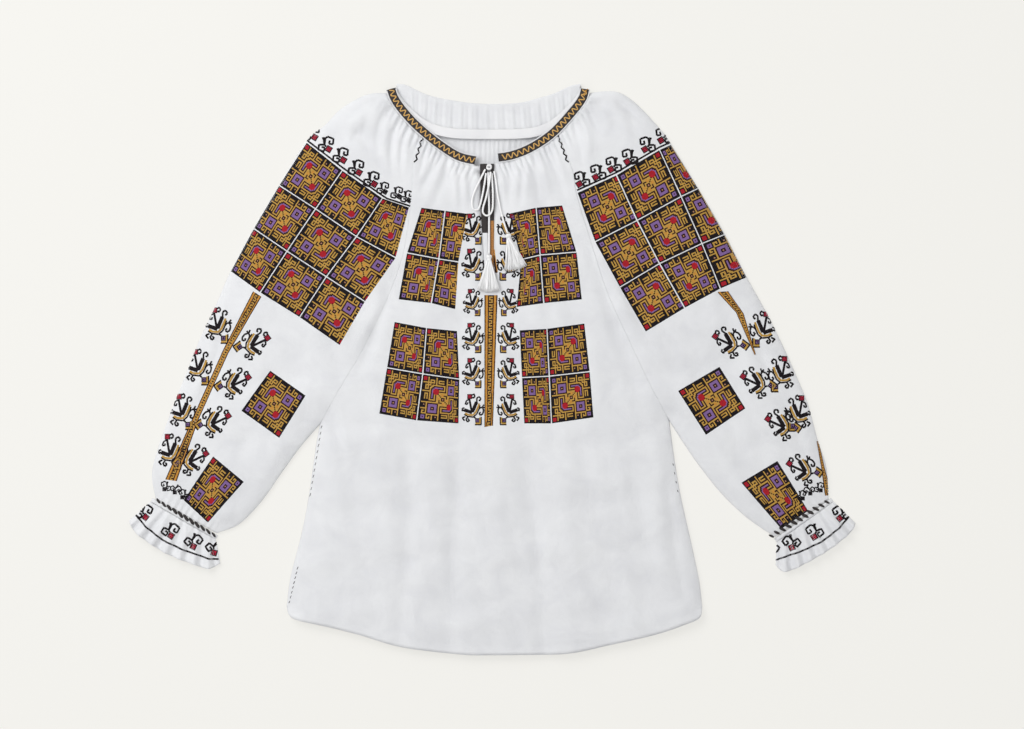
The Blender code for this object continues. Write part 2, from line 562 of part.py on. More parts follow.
def cuff_ring(inner_line, outer_line, rows, crown_height, ripple, columns):
    """Outer points of a flat tube across a cuff, rows along the arm, columns round it."""
    even = np.linspace(0, 1, columns[0] + 1)
    over = 0.65 * even + 0.35 * (1 - np.cos(even * math.pi)) / 2
    beneath = np.concatenate([[.985, .955], np.linspace(.9, .1, columns[1]), [.045, .015]])
    grid = []
    for v in rows:
        ends = [inner_line.at(t) * (1 - v) + outer_line.at(t) * v for t in (0.0, 1.0)]
        width = np.linalg.norm(ends[1] - ends[0])
        ring = []
        for cols, reach, sense in ((over, width / 2, 1), (beneath, EDGE_RADIUS, -1)):
            d = np.minimum(cols, 1 - cols) * width
            k = 1 - np.clip(d / reach, 0, 1)
            rise = crown_height(v) - EDGE_RADIUS if sense > 0 else -EDGE_RADIUS
            z = EDGE_RADIUS + rise * np.sqrt(1 - k * k)
            if sense > 0:
                wave = np.sin(2 * math.pi * FRILL_WAVES * cols + FRILL_PHASE)
                z = z + ripple(v) * wave * smooth(d / 9)
            plan = inner_line.at(cols) * (1 - v) + outer_line.at(cols) * v
            ring.append(np.concatenate([plan, z[:, None]], axis=1))
        grid.append(np.vstack(ring))
    return np.array(grid)


def ring_normals(grid):
    """Outward normals of a grid that closes on itself across its columns."""
    across = np.roll(grid, -1, axis=1) - np.roll(grid, 1, axis=1)
    along = np.gradient(grid, axis=0)
    normals = np.cross(across, along)
    normals /= np.linalg.norm(normals, axis=-1, keepdims=True)
    top = grid[..., 2].argmax()
    if normals.reshape(-1, 3)[top, 2] < 0:
        normals = -normals
    return normals


def build_cuff(side, binding_mat, frill_mat):
    wrist = Curve(WRIST[side], steps=8)
    out = wrist.side(0.5) * (1 if side == "left" else -1)
    if out[1] > 0:
        out = -out
    near = Curve(wrist.at(np.linspace(0, 1, 9)) + out * SEAM, steps=1)
    far = Curve(wrist.at(np.linspace(0, 1, 9)) + out * WRIST_DEPTH, steps=1)
    binding = cuff_ring(near, far, [0, .5, 1],
                        lambda v: WRIST_CROWN + WRIST_PROUD * math.sin(math.pi * v), lambda v: 0.0, (14, 6))
    wall_object("wrist_gather_" + side, binding, ring_normals(binding), WRIST_WALL, binding_mat,
                wrap=True)
    start = Curve(wrist.at(np.linspace(0, 1, 9)) + out * (WRIST_DEPTH + SEAM), steps=1)
    frill = cuff_ring(start, Curve(FRILL_EDGE[side]), [0, .3, .65, 1],
                      lambda v: WRIST_CROWN + (FRILL_CROWN - WRIST_CROWN) * v,
                      lambda v: FRILL_RIPPLE[0] + (FRILL_RIPPLE[1] - FRILL_RIPPLE[0]) * v, (42, 14))
    wall_object("frill_" + side, frill, ring_normals(frill), CLOTH, frill_mat, wrap=True)


def band_rows():
    """Stations of the neckband from the slit up the left front half, folded under
    at the shoulder tip, across the back plain side up, and down the right half.
    Each holds the centre, the direction of the sewn edge and the outer face's normal."""
    middle = (BAND_FRONT_Z + BAND_BACK_Z) / 2
    radius = (BAND_FRONT_Z - BAND_BACK_Z) / 2
    share = np.linspace(0.03, BAND_END_SHARE, 19)
    halves, tips = {}, {}
    for side, sign in (("left", 1), ("right", -1)):
        line = band_front[side]
        centre, sewn = line.at(share), line.side(share) * sign
        z = BAND_FRONT_Z + BAND_RISE * smooth((share - 0.1) / 0.4)
        half = [(*c, h, *w, (0, 0, 1)) for c, w, h in zip(centre, sewn, z)]
        forward = line.at(0.0) - line.at(0.06)
        forward /= np.linalg.norm(forward)
        fold = []
        for turn in (30, 70, 110, 150):
            bend = math.radians(turn)
            c = centre[0] + forward * radius * math.sin(bend)
            fold.append((*c, middle + radius * math.cos(bend), *sewn[0],
                         (*(forward * math.sin(bend)), math.cos(bend))))
        halves[side] = half
        tips[side] = (fold, centre[0], sewn[0])
    share = np.linspace(0.0, 1.0, 29)
    centre, sewn = band_back.at(share), band_back.side(share)
    for end, side in ((0, "left"), (1, "right")):
        _, tip, tip_sewn = tips[side]
        weight = smooth(1 - np.abs(share - end) / 0.15)[:, None]
        shift = tip - band_back.at(float(end))
        centre = centre + shift * weight
        sewn = sewn * (1 - weight) + tip_sewn * weight
    sewn = sewn / np.linalg.norm(sewn, axis=-1, keepdims=True)
    back = [(*c, BAND_BACK_Z, *w, (0, 0, -1)) for c, w in zip(centre, sewn)]
    return halves["left"][::-1] + tips["left"][0] + back + tips["right"][0][::-1] + halves["right"]


def build_band(mat):
    points, normals = [], []
    for x, y, z, wx, wy, normal in band_rows():
        face = np.array([x, y, z]) + np.array(normal) * BAND_WALL / 2
        reach = np.array([wx, wy, 0]) * BAND_WIDTH / 2
        points.append([face + reach, face - reach])
        normals.append([normal, normal])
    return wall_object("neckband", np.array(points), np.array(normals), BAND_WALL, mat)


def build_binding(side, mat):
    """A narrow strip along one edge of the front slit."""
    column = 1 if side == "left" else 2
    inward = 1 if side == "left" else -1
    edge, gap = np.array(SLIT)[::-1], np.array(SLIT_GAP)[::-1]
    y = np.linspace(SLIT_TOP, SLIT_END + SEAM, 12)
    outside = np.interp(y, edge[:, 0], edge[:, column]) + inward * SEAM
    inside = np.interp(y, gap[:, 0], gap[:, column])
    x = np.stack([outside, (outside + inside) / 2, inside], axis=-1)
    plan = np.stack([x, np.repeat(y[:, None], 3, axis=1)], axis=-1)
    points, normals = upper(plan)
    points[..., 2] += BINDING_PROUD
    return wall_object("slit_binding_" + side, points, normals, BINDING_WALL, mat)


def cloth_top(x, y):
    return float(upper(np.array([[x, y]], float))[0][0, 2])


def knot_height():
    return cloth_top(*KNOT) + BINDING_PROUD + SEAM + KNOT_SIZE[2]


def build_knot(mat):
    bm = bmesh.new()
    bmesh.ops.create_uvsphere(bm, u_segments=14, v_segments=9, radius=1.0)
    for vert in bm.verts:
        lobes = 1 + 0.12 * math.cos(3 * math.atan2(vert.co.y, vert.co.x) + 2.5 * vert.co.z)
        vert.co.x = (KNOT[0] + KNOT_SIZE[0] * lobes * vert.co.x) * MM
        vert.co.y = (KNOT[1] + KNOT_SIZE[1] * lobes * vert.co.y) * MM
        vert.co.z = (knot_height() + KNOT_SIZE[2] * vert.co.z) * MM
    verts = [vert.co[:] for vert in bm.verts]
    faces = [tuple(vert.index for vert in face.verts) for face in bm.faces]
    bm.free()
    return mesh_object("cord_knot", verts, faces, mat)


def tassel_frame(name):
    """Start point, hanging direction and middle height of a tassel."""
    (x, y), (dx, dy) = TASSELS[name]
    run = np.array([dx, dy]) / math.hypot(dx, dy)
    across = np.array([run[1], -run[0]])
    heights = []
    for along in np.linspace(0, TASSEL_HEAD + TASSEL_SKIRT, 9):
        for wide in np.linspace(-1, 1, 5):
            spread = wide * TASSEL_SPREAD * min(1.0, along / TASSEL_SKIRT)
            heights.append(cloth_top(*(np.array([x, y]) + run * along + across * spread)))
    return np.array([x, y], float), run, across, max(heights) + TASSEL_REST


def build_cord(name, mat):
    route = Curve(CORD_ROUTES[name])
    count = max(8, round(route.length / (CORD * 2.2)))
    share = np.linspace(0, 1, count)
    plan = route.at(share)
    first, middle, last = CORD_LIFT[name]
    lift = np.interp(share, [0, 0.5, 1], [first, middle, last])
    z = upper(plan)[0][:, 2] + CORD / 2 + lift
    if name.startswith("tail"):
        level = tassel_frame(name.replace("tail", "tassel"))[3]
        z = z + (level - z) * smooth((share - 0.6) / 0.4)
    curve = bpy.data.curves.new(name, "CURVE")
    curve.dimensions = "3D"
    curve.bevel_depth = CORD / 2 * MM
    curve.bevel_resolution = 2
    curve.use_fill_caps = True
    spline = curve.splines.new("POLY")
    spline.points.add(count - 1)
    for point, (x, y), h in zip(spline.points, plan, z):
        point.co = (x * MM, y * MM, h * MM, 1.0)
    curve.materials.append(mat)
    obj = bpy.data.objects.new(name, curve)
    bpy.context.scene.collection.objects.link(obj)
    return obj


def build_tassel(name, mat):
    """A bound head whose lower face is a grid of roots, each drawn out as a strand."""
    start, run, across, level = tassel_frame(name)
    wide, deep = TASSEL_STRANDS
    ring = ([(i, 0) for i in range(wide)] + [(wide, j) for j in range(deep)]
            + [(i, deep) for i in range(wide, 0, -1)] + [(0, j) for j in range(deep, 0, -1)])

    def place(along, side, up):
        x, y = start + run * along + across * side
        return (x * MM, y * MM, (level + up) * MM)

    def root(i, j, half_wide, half_deep):
        """A grid point of the root face, drawn from a square to an oval."""
        a, b = 2 * i / wide - 1, 2 * j / deep - 1
        return (half_wide * a * math.sqrt(1 - b * b / 2), half_deep * b * math.sqrt(1 - a * a / 2))

    verts, faces = [], []
    for along, radius in TASSEL_PROFILE:
        for i, j in ring:
            side, up = root(i, j, 1, 1)
            scale = radius / math.hypot(side, up)
            verts.append(place(along, side * scale, up * scale))
    size = len(ring)
    levels = len(TASSEL_PROFILE)
    for k in range(levels - 1):
        for n in range(size):
            m = (n + 1) % size
            faces.append((k * size + n, k * size + m, (k + 1) * size + m, (k + 1) * size + n))
    verts.append(place(TASSEL_PROFILE[0][0] + SEAM, 0, 0))
    cap = len(verts) - 1
    faces += [(cap, (n + 1) % size, n) for n in range(size)]
    grid = {spot: (levels - 1) * size + n for n, spot in enumerate(ring)}
    base = TASSEL_HEAD
    for i in range(1, wide):
        for j in range(1, deep):
            side, up = root(i, j, TASSEL_PROFILE[-1][1] * 0.97, TASSEL_PROFILE[-1][1] * 0.97)
            grid[i, j] = len(verts)
            verts.append(place(base, side, up))
    for i in range(wide):
        for j in range(deep):
            corners = [grid[i, j], grid[i + 1, j], grid[i + 1, j + 1], grid[i, j + 1]]
            side, up = root(i + 0.5, j + 0.5, TASSEL_PROFILE[-1][1], TASSEL_PROFILE[-1][1])
            fan = 2 * (i + 0.5) / wide - 1
            layer = j - (deep - 1) / 2
            reach = TASSEL_SKIRT * (1 - 0.05 * fan * fan) * (0.97 + 0.03 * math.sin(5.1 * i + 2.3 * j))
            sections = [(base + 0.4, side, up, 0.24, 0.55),
                        (base + 0.5 * reach, fan * TASSEL_SPREAD * 0.68, layer * 1.7, 0.75, 0.6),
                        (base + reach, fan * TASSEL_SPREAD + 0.4 * math.sin(3.7 * i + j),
                         layer * 1.7, 0.9, 0.5)]
            previous = corners
            for along, side, up, half_wide, half_deep in sections:
                current = []
                for sx, sy in ((-1, -1), (1, -1), (1, 1), (-1, 1)):
                    current.append(len(verts))
                    verts.append(place(along, side + sx * half_wide, up + sy * half_deep))
                for a, b, c, d in zip(previous, previous[1:] + previous[:1],
                                      current[1:] + current[:1], current):
                    faces.append((a, b, c, d))
                previous = current
            faces.append(tuple(previous))
    return mesh_object(name, verts, faces, mat)


def main():
    clear_scene()
    build_front(finish_material("front linen", LINEN, 0.9))
    build_back(finish_material("back linen", LINEN, 0.9))
    build_band(finish_material("neckband stitching", DARK_THREAD, 0.7))
    for side in ("left", "right"):
        build_sleeve(side, finish_material("sleeve linen " + side, LINEN, 0.9))
        build_cuff(side, finish_material("wrist gathering " + side, MIXED_THREAD, 0.8),
                   finish_material("frill linen " + side, LINEN, 0.9))
        build_binding(side, finish_material("slit binding " + side, DARK_THREAD, 0.7))
    build_knot(finish_material("knot thread", LIGHT_THREAD, 0.8))
    for name in CORD_ROUTES:
        build_cord(name, finish_material("cord thread " + name, LIGHT_THREAD, 0.8))
    for name in TASSELS:
        build_tassel(name, finish_material("tassel thread " + name, LIGHT_THREAD, 0.8))


main()
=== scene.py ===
# Embroidered linen blouse, laid flat on a pale floor
import math
import numpy as np
import bpy
from mathutils import Matrix, Vector
from mathutils.bvhtree import BVHTree


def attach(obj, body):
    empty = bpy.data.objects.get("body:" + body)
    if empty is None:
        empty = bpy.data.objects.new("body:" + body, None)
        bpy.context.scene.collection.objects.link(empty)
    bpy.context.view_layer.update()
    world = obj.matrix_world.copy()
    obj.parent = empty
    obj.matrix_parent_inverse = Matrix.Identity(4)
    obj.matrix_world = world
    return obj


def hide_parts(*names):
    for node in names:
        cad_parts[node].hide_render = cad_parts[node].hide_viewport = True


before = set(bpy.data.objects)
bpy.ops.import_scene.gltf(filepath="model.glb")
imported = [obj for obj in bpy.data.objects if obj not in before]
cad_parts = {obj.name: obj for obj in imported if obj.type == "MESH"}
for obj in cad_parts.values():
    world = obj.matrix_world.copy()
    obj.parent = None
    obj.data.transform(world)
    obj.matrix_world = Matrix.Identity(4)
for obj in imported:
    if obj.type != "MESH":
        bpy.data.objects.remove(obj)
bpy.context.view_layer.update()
mm = 0.001
pixelSize = 1.3       # one picture pixel in millimetres
pictureMiddle = (492.2, 369.2)  # the blouse's middle in the picture, in pixels
print("frame loaded")


def putInScene(name, data):
    # an object with this data, in the scene
    obj = bpy.data.objects.new(name, data)
    bpy.context.scene.collection.objects.link(obj)
    return obj


# Camera straight above
camera = {"height": 6.0, "lens": 162.3, "x": 0.0257, "y": 0.0061}
camData = bpy.data.cameras.new("overhead")
camData.lens = camera["lens"]
camData.sensor_width = 36.0
camObj = putInScene("overhead", camData)
camObj.location = (camera["x"], camera["y"], camera["height"])
bpy.context.scene.camera = camObj


# Sizes in millimetres, seen from above
clothWall = 1.2       # linen wall
seamGap = 0.3         # gap between sewn pieces
edgeRadius = 4.0      # half height of the soft roll at a folded edge
crownHeight = 15.0    # height of the upper layer away from its edges
crownReach = 55.0     # how far from an edge the upper layer reaches its crown
tipGap = 1.6          # gap at the very end of a raglan seam
floorSeamStart = 0.04 # where the floor layer leaves the raglan seam
backRoll = 2.4        # half height of the roll at the back of the neck
bandWidth = 12.6      # neckband
bandWall = 1.8
bandGap = 0.5         # clear of the gathered edge, whose ripples lean towards it
bandFrontZ = 9.9      # middle of the band's front half at the shoulder tips
bandBackZ = 7.0       # middle of the band's back half
neckDipZ = 11.4       # cloth height where it is gathered into the band
neckDipReach = 22.0   # how far that dip is felt
wristCrown = 9.4      # height of the sleeve where it is gathered at the wrist
wristHalf = 48.0      # half the gathered width
wristDipReach = 30.0  # how far the wrist pulls the sleeve down
frillCrown = 13.9     # height of a frill's middle at its free edge
bandRise = 1.1        # how far the band climbs from the tips to the front
bandEndShare = 0.975  # where the band stops beside the slit
bindingWall = 1.6     # binding of the slit
bindingProud = 0.3    # how far it stands above the front
slitTop = 266.5
cordDiameter = 2.6    # drawstring
knotSize = (4.6, 4.8, 2.7)
frillWaves = 7        # waves on each side of a cuff frill
frillPhase = 0.6      # where the first wave starts
backGathers = 15      # gathers across the back of the neck
backRipple = 0.7      # their height
foldFade = 14.0       # folds fade out this near to a folded edge

# Outline of the blouse seen from above, columns x, y.
raglanFront = {
    "left": [(-93, 300), (-102, 271), (-104, 240), (-106, 211), (-116, 147),
             (-138, 87), (-168, 25), (-197, -24), (-224, -72)],
    "right": [(87, 301), (100, 271), (107, 249), (110, 226), (130, 160),
              (150, 99), (178, 37), (202, -14), (230, -67)]}
sleeveOuter = {
    "left": [(-136.6, 358.3), (-154, 358.5), (-172, 353), (-198, 337), (-217, 317), (-241, 297), (-277, 239),
             (-310, 183), (-340, 127), (-359, 83), (-379, 41), (-397, -4), (-416, -52),
             (-434, -102), (-442, -136), (-437, -169)],
    "right": [(126.6, 358.7), (146, 361), (166, 359), (189, 343), (219, 311), (232, 293), (267, 236),
              (302, 176), (331, 119), (358, 70), (382, 21), (396, -11), (410, -45),
              (423, -93), (434, -127), (437, -169)]}
sleeveUnder = {
    "left": [(-224, -72), (-249, -101), (-273, -134), (-299, -171), (-328, -201), (-358, -213)],
    "right": [(230, -67), (249, -97), (270, -127), (299, -163), (331, -193), (367, -218)]}
sideTable = {
    "left": [(-224, -72), (-229, -100), (-238, -163), (-248, -215), (-262, -270), (-267, -308)],
    "right": [(230, -67), (237, -118), (245, -165), (258, -223), (269, -275), (273, -309)]}
hemTable = {
    "left": [(-267, -308), (-263, -320), (-251, -326), (-215, -334), (-171, -345),
             (-125, -359), (-80, -366), (-33, -370.6), (-6, -371)],
    "right": [(273, -309), (269, -323), (251, -331), (213, -344), (156, -357),
              (98, -369), (37, -370.6), (2, -371)]}
backRaglanTop = {"left": (-131, 355), "right": (121, 355)}
backTop = [(-124, 371), (-111, 369), (-85, 357), (-55, 350), (-16, 345), (33, 346),
            (62, 353), (82, 359), (101, 368), (115, 371)]
backFlapEnd = [(-117, 343), (-95, 318), (-75, 304), (-45, 299), (-3, 298), (43, 299),
                 (70, 304), (91, 318), (109, 343)]

# Neckband centre line seen from above, columns x, y, from the shoulder tip.
bandFrontTable = {
    "left": [(-132, 366), (-125, 348), (-105, 323), (-82, 302), (-59, 285), (-41, 275),
             (-18, 270)],
    "right": [(121, 366), (117, 351), (100, 329), (76, 304), (48, 286), (24, 277), (4, 274)]}
bandBackTable = [(-132, 366), (-116, 341), (-96, 322), (-77, 312), (-48, 306), (-3, 305),
             (43, 306), (69, 312), (88, 324), (108, 345), (121, 366)]

# Front slit, columns y, left edge x, right edge x.
slitTable = [(268, -16.0, 2.6), (210, -15.0, 2.8), (150, -11.5, 2.4), (109.5, -9.0, 1.0)]
slitGap = [(268, -6.8, -2.0), (210, -6.4, -2.2), (150, -5.0, -2.6), (109.5, -4.4, -3.2)]
slitEnd = 109.5

# Folds of the upper layer, as soft ridges (height > 0) and troughs (height < 0) along a curve.
# Columns: start x, y, middle x, y, end x, y, half width, height, strength at the start and at the end.
foldTable = [
    # front left
    (-83, 291, -90, 268, -99, 236, 3.5, -1.6, 0.4, 0), (-77, 285, -87, 262, -99, 238, 3.5, 1.2, 0.4, 0),
    (-68, 276, -82, 251, -99, 224, 3.5, -2, 0.4, 0.1), (-60, 271, -73, 246, -89, 212, 5, 1.8, 0.4, 0.2),
    (-55, 269, -63, 243, -80, 204, 5, -1.8, 0.4, 0.2), (-50, 268, -47, 239, -47, 202, 4.5, 1.6, 0.4, 0.2),
    (-43, 267, -42, 239, -39, 204, 4, -1.4, 0.4, 0.2), (-37, 265, -35, 239, -33, 204, 4, 1.2, 0.4, 0.2),
    (-28, 264, -28, 239, -29, 212, 4, -1.3, 0.4, 0.1),
    # front right
    (5, 264, 5, 241, 2, 213, 4, -1.1, 0.4, 0.1), (11, 265, 14, 239, 17, 210, 4, 1.3, 0.4, 0.1),
    (23, 267, 23, 241, 21, 210, 4.5, -1.5, 0.4, 0.1), (34, 268, 32, 243, 30, 210, 4.5, 1.3, 0.4, 0.1),
    (40, 271, 39, 243, 35, 204, 4, -1.3, 0.4, 0.1), (47, 275, 45, 246, 44, 207, 4.5, 1.5, 0.4, 0.1),
    (53, 277, 57, 246, 61, 207, 4.5, -1.6, 0.4, 0.1), (62, 282, 69, 249, 76, 210, 5, 1.8, 0.4, 0.1),
    (71, 288, 83, 256, 96, 215, 4.5, -1.5, 0.4, 0.1), (79, 294, 89, 265, 102, 226, 4, 1.4, 0.4, 0),
    # sleeve left
    (-128, 338, -147, 314, -145, 259, 4.5, -2.6, 0.3, 0.1),
    (-120, 330, -138, 303, -135, 249, 5, 2.4, 0.3, 0.1),
    (-117, 323, -130, 295, -128, 249, 4, -1.8, 0.4, 0),
    (-113, 319, -122, 288, -121, 241, 4.5, 1.8, 0.4, 0.1),
    (-108, 315, -117, 288, -119, 243, 3.8, -1.6, 0.4, 0),
    (-104, 310, -111, 282, -112, 241, 4.2, 1.6, 0.4, 0), (-185, 308, -167, 298, -151, 267, 9, -4, 0, 0.1),
    (-164, 321, -178, 321, -198, 314, 12, 2.6, 0, 0), (-146, 354, -169, 342, -191, 321, 6, -1.6, 0.2, 0),
    # sleeve right
    (104, 324, 108, 308, 105, 285, 4, -1.5, 0.4, 0), (113, 332, 125, 301, 122, 264, 5, 1.8, 0.4, 0),
    (106, 311, 114, 288, 117, 249, 4.5, -1.8, 0.4, 0), (125, 347, 138, 345, 153, 334, 4.5, -1.8, 0.3, 0),
    (126, 340, 132, 321, 140, 298, 5, -1.8, 0.3, 0), (135, 342, 148, 327, 149, 301, 6, 1.8, 0.2, 0),
    (156, 347, 177, 337, 203, 315, 6, -3, 0.1, 0), (171, 337, 182, 317, 188, 295, 6, -1.6, 0.2, 0),
    # body
    (-216, -43, -203, -76, -182, -144, 7, -3.8, 0.3, 0),
    (-190, -105, -180, -157, -172, -229, 12, -2.2, 0, 0), (-156, -73, -151, -112, -143, -170, 16, 2, 0, 0),
    (-111, -71, -108, -183, -120, -359, 12, -3, 0.2, 0.8),
    (-78, -79, -81, -196, -83, -362, 15, 1.8, 0.2, 0.7),
    (-41, -73, -48, -196, -56, -365, 12, -2.8, 0.3, 0.6), (4, -79, 0, -196, 6, -368, 18, 2.2, 0.2, 0.6),
    (40, -71, 56, -196, 67, -368, 12, -3.4, 0.3, 0.8), (96, -73, 104, -196, 122, -359, 18, 2.2, 0.2, 0.6),
    (177, -92, 195, -196, 208, -336, 14, -1.8, 0, 0.4), (223, -131, 234, -196, 247, -295, 9, -2.6, 0, 0.3),
    (119, 191, 144, 103, 192, -30, 10, -3.2, 0.1, 0.2),
    (-128, 121, -154, 41, -176, -11, 8, -3.4, 0.1, 0.1),
    # sleeve roll right
    (127, 178, 161, 100, 223, -30, 8, 2.6, 0.1, 0.2),
    # sleeve roll left
    (-135, 103, -164, 54, -193, 2, 7, 2, 0, 0.1),
    # lower left
    (-338, 90, -364, -4, -411, -115, 8, -2.6, 0.1, 0.2),
    (-263, 22, -299, -53, -351, -170, 12, -1.6, 0, 0.3), (-237, 4, -271, -92, -333, -186, 12, 1.8, 0, 0.2),
    # lower right
    (325, 90, 359, -4, 411, -113, 9, -2.4, 0.1, 0.2), (257, 31, 299, -53, 359, -165, 12, -1.6, 0, 0.3),
    (223, 22, 270, -71, 343, -180, 11, 1.8, 0, 0.2)]

# Cuffs seen from above: the wrist line and the frill's outer edge, columns x, y,
# both from the sleeve's outer side to its underarm side.
wristLine = {"left": [(-441, -167), (-356, -216)], "right": [(440, -167), (366, -220)]}
wristDepth = 5.5
wristProud = 1.6      # how far the gathering stitch stands above the sleeve
frillRipple = (0.5, 3.7)  # wave height at the wrist and at the free edge
frillEdge = {
    "left": [(-472, -197), (-462, -213), (-432, -234), (-410, -245), (-388, -253),
             (-368, -259), (-353, -252)],
    "right": [(472, -200), (466, -211), (442, -231), (414, -248), (388, -261),
              (376, -262), (368, -254)]}

# Drawstring routes seen from above, columns x, y, starting beside the knot.
knotPlace = (-4.0, 262.0)
cordRoutes = {
    "loop_left": [(-9, 259), (-15, 247), (-22, 232), (-26, 219), (-25, 209), (-20, 206),
                  (-16, 212), (-13, 224), (-10, 240), (-8, 254)],
    "loop_right": [(-2, 255.5), (-4, 240), (-8, 222), (-12, 208), (-11, 201), (-5, 199),
                   (0, 206), (1, 220), (0.5, 238), (-0.5, 254)],
    "tail_left": [(-5, 255), (-5, 236), (-4, 215), (-4, 190), (-4, 168), (-4, 149.5)],
    "tail_right": [(2.5, 256.5), (5, 242), (7, 226), (11, 206), (16, 188), (20, 176.5)]}
# Height of each cord above the cloth, columns at the start, middle and end.
cordLift = {"loop_left": (3.2, 0.6, 1.6), "loop_right": (3.7, 3.6, 0.8),
             "tail_left": (0.8, 0.5, 2.0), "tail_right": (1.6, 0.6, 2.0)}
# Tassels: where the cord enters the head, and the direction the skirt hangs.
tasselPlaces = {"tassel_left": ((-4, 149), (-0.02, -1.0)), "tassel_right": ((20.2, 176), (0.22, -0.98))}
tasselHead = 8.5
tasselRest = 3.7      # middle of a tassel above the highest cloth below it
tasselSkirt = 41.0
tasselSpread = 15.0


def unit(vectors):
    # the same directions, one long
    return vectors / np.maximum(np.linalg.norm(vectors, axis=-1, keepdims=True), 1e-9)


def runAlong(points):
    # distance covered up to each point
    return np.concatenate([[0], np.cumsum(np.linalg.norm(np.diff(points, axis=0), axis=1))])


class Curve:
    def __init__(self, points, steps=5):
        pts = np.array(points, float)
        ends = np.vstack([2 * pts[0] - pts[1], pts, 2 * pts[-1] - pts[-2]])
        fine = []
        for a, b, c, d in zip(ends, ends[1:], ends[2:], ends[3:]):
            for k in range(steps):
                t = k / steps
                fine.append(0.5 * (2 * b + (c - a) * t + (2 * a - 5 * b + 4 * c - d) * t ** 2
                                   + (3 * b - a - 3 * c + d) * t ** 3))
        fine.append(pts[-1])
        self.fine = np.array(fine)
        self.along = runAlong(self.fine)
        self.length = self.along[-1]

    def at(self, share):
        where = np.asarray(share, float) * self.length
        return np.stack([np.interp(where, self.along, self.fine[:, k])
                         for k in range(self.fine.shape[1])], axis=-1)

    def side(self, share):
        step = 0.004
        share = np.asarray(share, float)
        run = self.at(np.minimum(share + step, 1)) - self.at(np.maximum(share - step, 0))
        run = unit(run)
        return np.stack([run[..., 1], -run[..., 0]], axis=-1)


def smooth(x):
    x = np.clip(x, 0, 1)
    return x * x * (3 - 2 * x)


raglan = {side: Curve(raglanFront[side]) for side in raglanFront}
outer = {side: Curve(sleeveOuter[side]) for side in sleeveOuter}
under = {side: Curve(sleeveUnder[side]) for side in sleeveUnder}
bodySide = {side: Curve(sideTable[side]) for side in sideTable}
hem = {side: Curve(hemTable[side]) for side in hemTable}
bandFront = {side: Curve(bandFrontTable[side]) for side in bandFrontTable}
bandBack = Curve(bandBackTable)


def bandEdge(side):
    line = bandFront[side]
    share = np.linspace(0, 1, 61)
    out = 1 if side == "left" else -1
    return Curve(line.at(share) + line.side(share) * out * (bandWidth / 2 + bandGap), steps=1)


neckEdge = {side: bandEdge(side) for side in bandFront}

# Folded edges of the flat blouse, each run with the cloth on its left.
foldedEdges = [outer["left"].fine,
                np.vstack([under["left"].fine[::-1], bodySide["left"].fine[1:]]),
                outer["right"].fine[::-1],
                np.vstack([bodySide["right"].fine[::-1], under["right"].fine[1:]])]


def nearest(points, lines, tie=0.05):
    start = np.vstack([line[:-1] for line in lines])
    run = np.vstack([np.diff(line, axis=0) for line in lines])
    flat = points.reshape(-1, 2)
    away = flat[:, None, :] - start[None]
    share = np.clip((away * run).sum(-1) / (run ** 2).sum(-1), 0, 1)
    away = away - share[..., None] * run
    dist = np.linalg.norm(away, axis=-1)
    best = dist.min(axis=1)
    left = unit(np.stack([-run[:, 1], run[:, 0]], axis=-1))
    close = (dist < best[:, None] + tie).astype(float)
    edgeDir = unit(close @ left)
    pick = away[np.arange(len(flat)), dist.argmin(axis=1)]
    direction = np.where(best[:, None] > tie, pick / np.maximum(best, tie)[:, None], edgeDir)
    return best.reshape(points.shape[:-1]), direction.reshape(points.shape)


def crown(d):
    k = 1 - np.clip(d / crownReach, 0, 1)
    return edgeRadius + (crownHeight - edgeRadius) * np.sqrt(1 - k * k)


def crownSlope(d):
    k = 1 - np.clip(d / crownReach, 1e-7, 1)
    return (crownHeight - edgeRadius) * k / (crownReach * np.sqrt(1 - k * k))


def foldCurve(row):
    x0, y0, x1, y1, x2, y2 = row[:6]
    t = np.linspace(0, 1, 9)[:, None]
    mid = 2 * np.array([x1, y1]) - (np.array([x0, y0]) + np.array([x2, y2])) / 2
    return (1 - t) ** 2 * np.array([x0, y0]) + 2 * t * (1 - t) * mid + t ** 2 * np.array([x2, y2])


foldLines = [(foldCurve(row), *row[6:]) for row in foldTable]


def foldHeight(points):
    flat = points.reshape(-1, 2)
    total = np.zeros(len(flat))
    for line, width, height, first, last in foldLines:
        run = np.diff(line, axis=0)
        away = flat[:, None, :] - line[None, :-1]
        share = np.clip((away * run).sum(-1) / (run ** 2).sum(-1), 0, 1)
        dist = np.linalg.norm(away - share[..., None] * run, axis=-1)
        pick = dist.argmin(axis=1)
        near = dist[np.arange(len(flat)), pick]
        along = (pick + share[np.arange(len(flat)), pick]) / len(run)
        window = first + (1 - first) * smooth(along / 0.3)
        window = window * (1 + (last - 1) * smooth((along - 0.55) / 0.45))
        total += height * window * np.exp(-(near / width) ** 2)
    return total.reshape(points.shape[:-1])


def wristHeight(d):
    k = 1 - np.clip(d / wristHalf, 0, 1)
    return edgeRadius + (wristCrown - edgeRadius) * np.sqrt(1 - k * k)


def relief(points, d):
    total = foldHeight(points)
    neck, _ = nearest(points, [neckEdge["left"].fine, neckEdge["right"].fine])
    dip = np.exp(-(neck / neckDipReach) ** 2)
    total = total + dip * (neckDipZ - crown(d))
    wrist, _ = nearest(points, [np.array(wristLine[side], float) for side in wristLine])
    wristDip = np.exp(-(wrist / wristDipReach) ** 2)
    return total * smooth(d / foldFade) + wristDip * (wristHeight(d) - crown(d))


def neckShare(side):
    neck = neckEdge[side]
    share = np.linspace(0, 1, 400)
    gap = np.linalg.norm(neck.at(share) - raglan[side].at(0), axis=-1)
    return share[gap.argmin()]


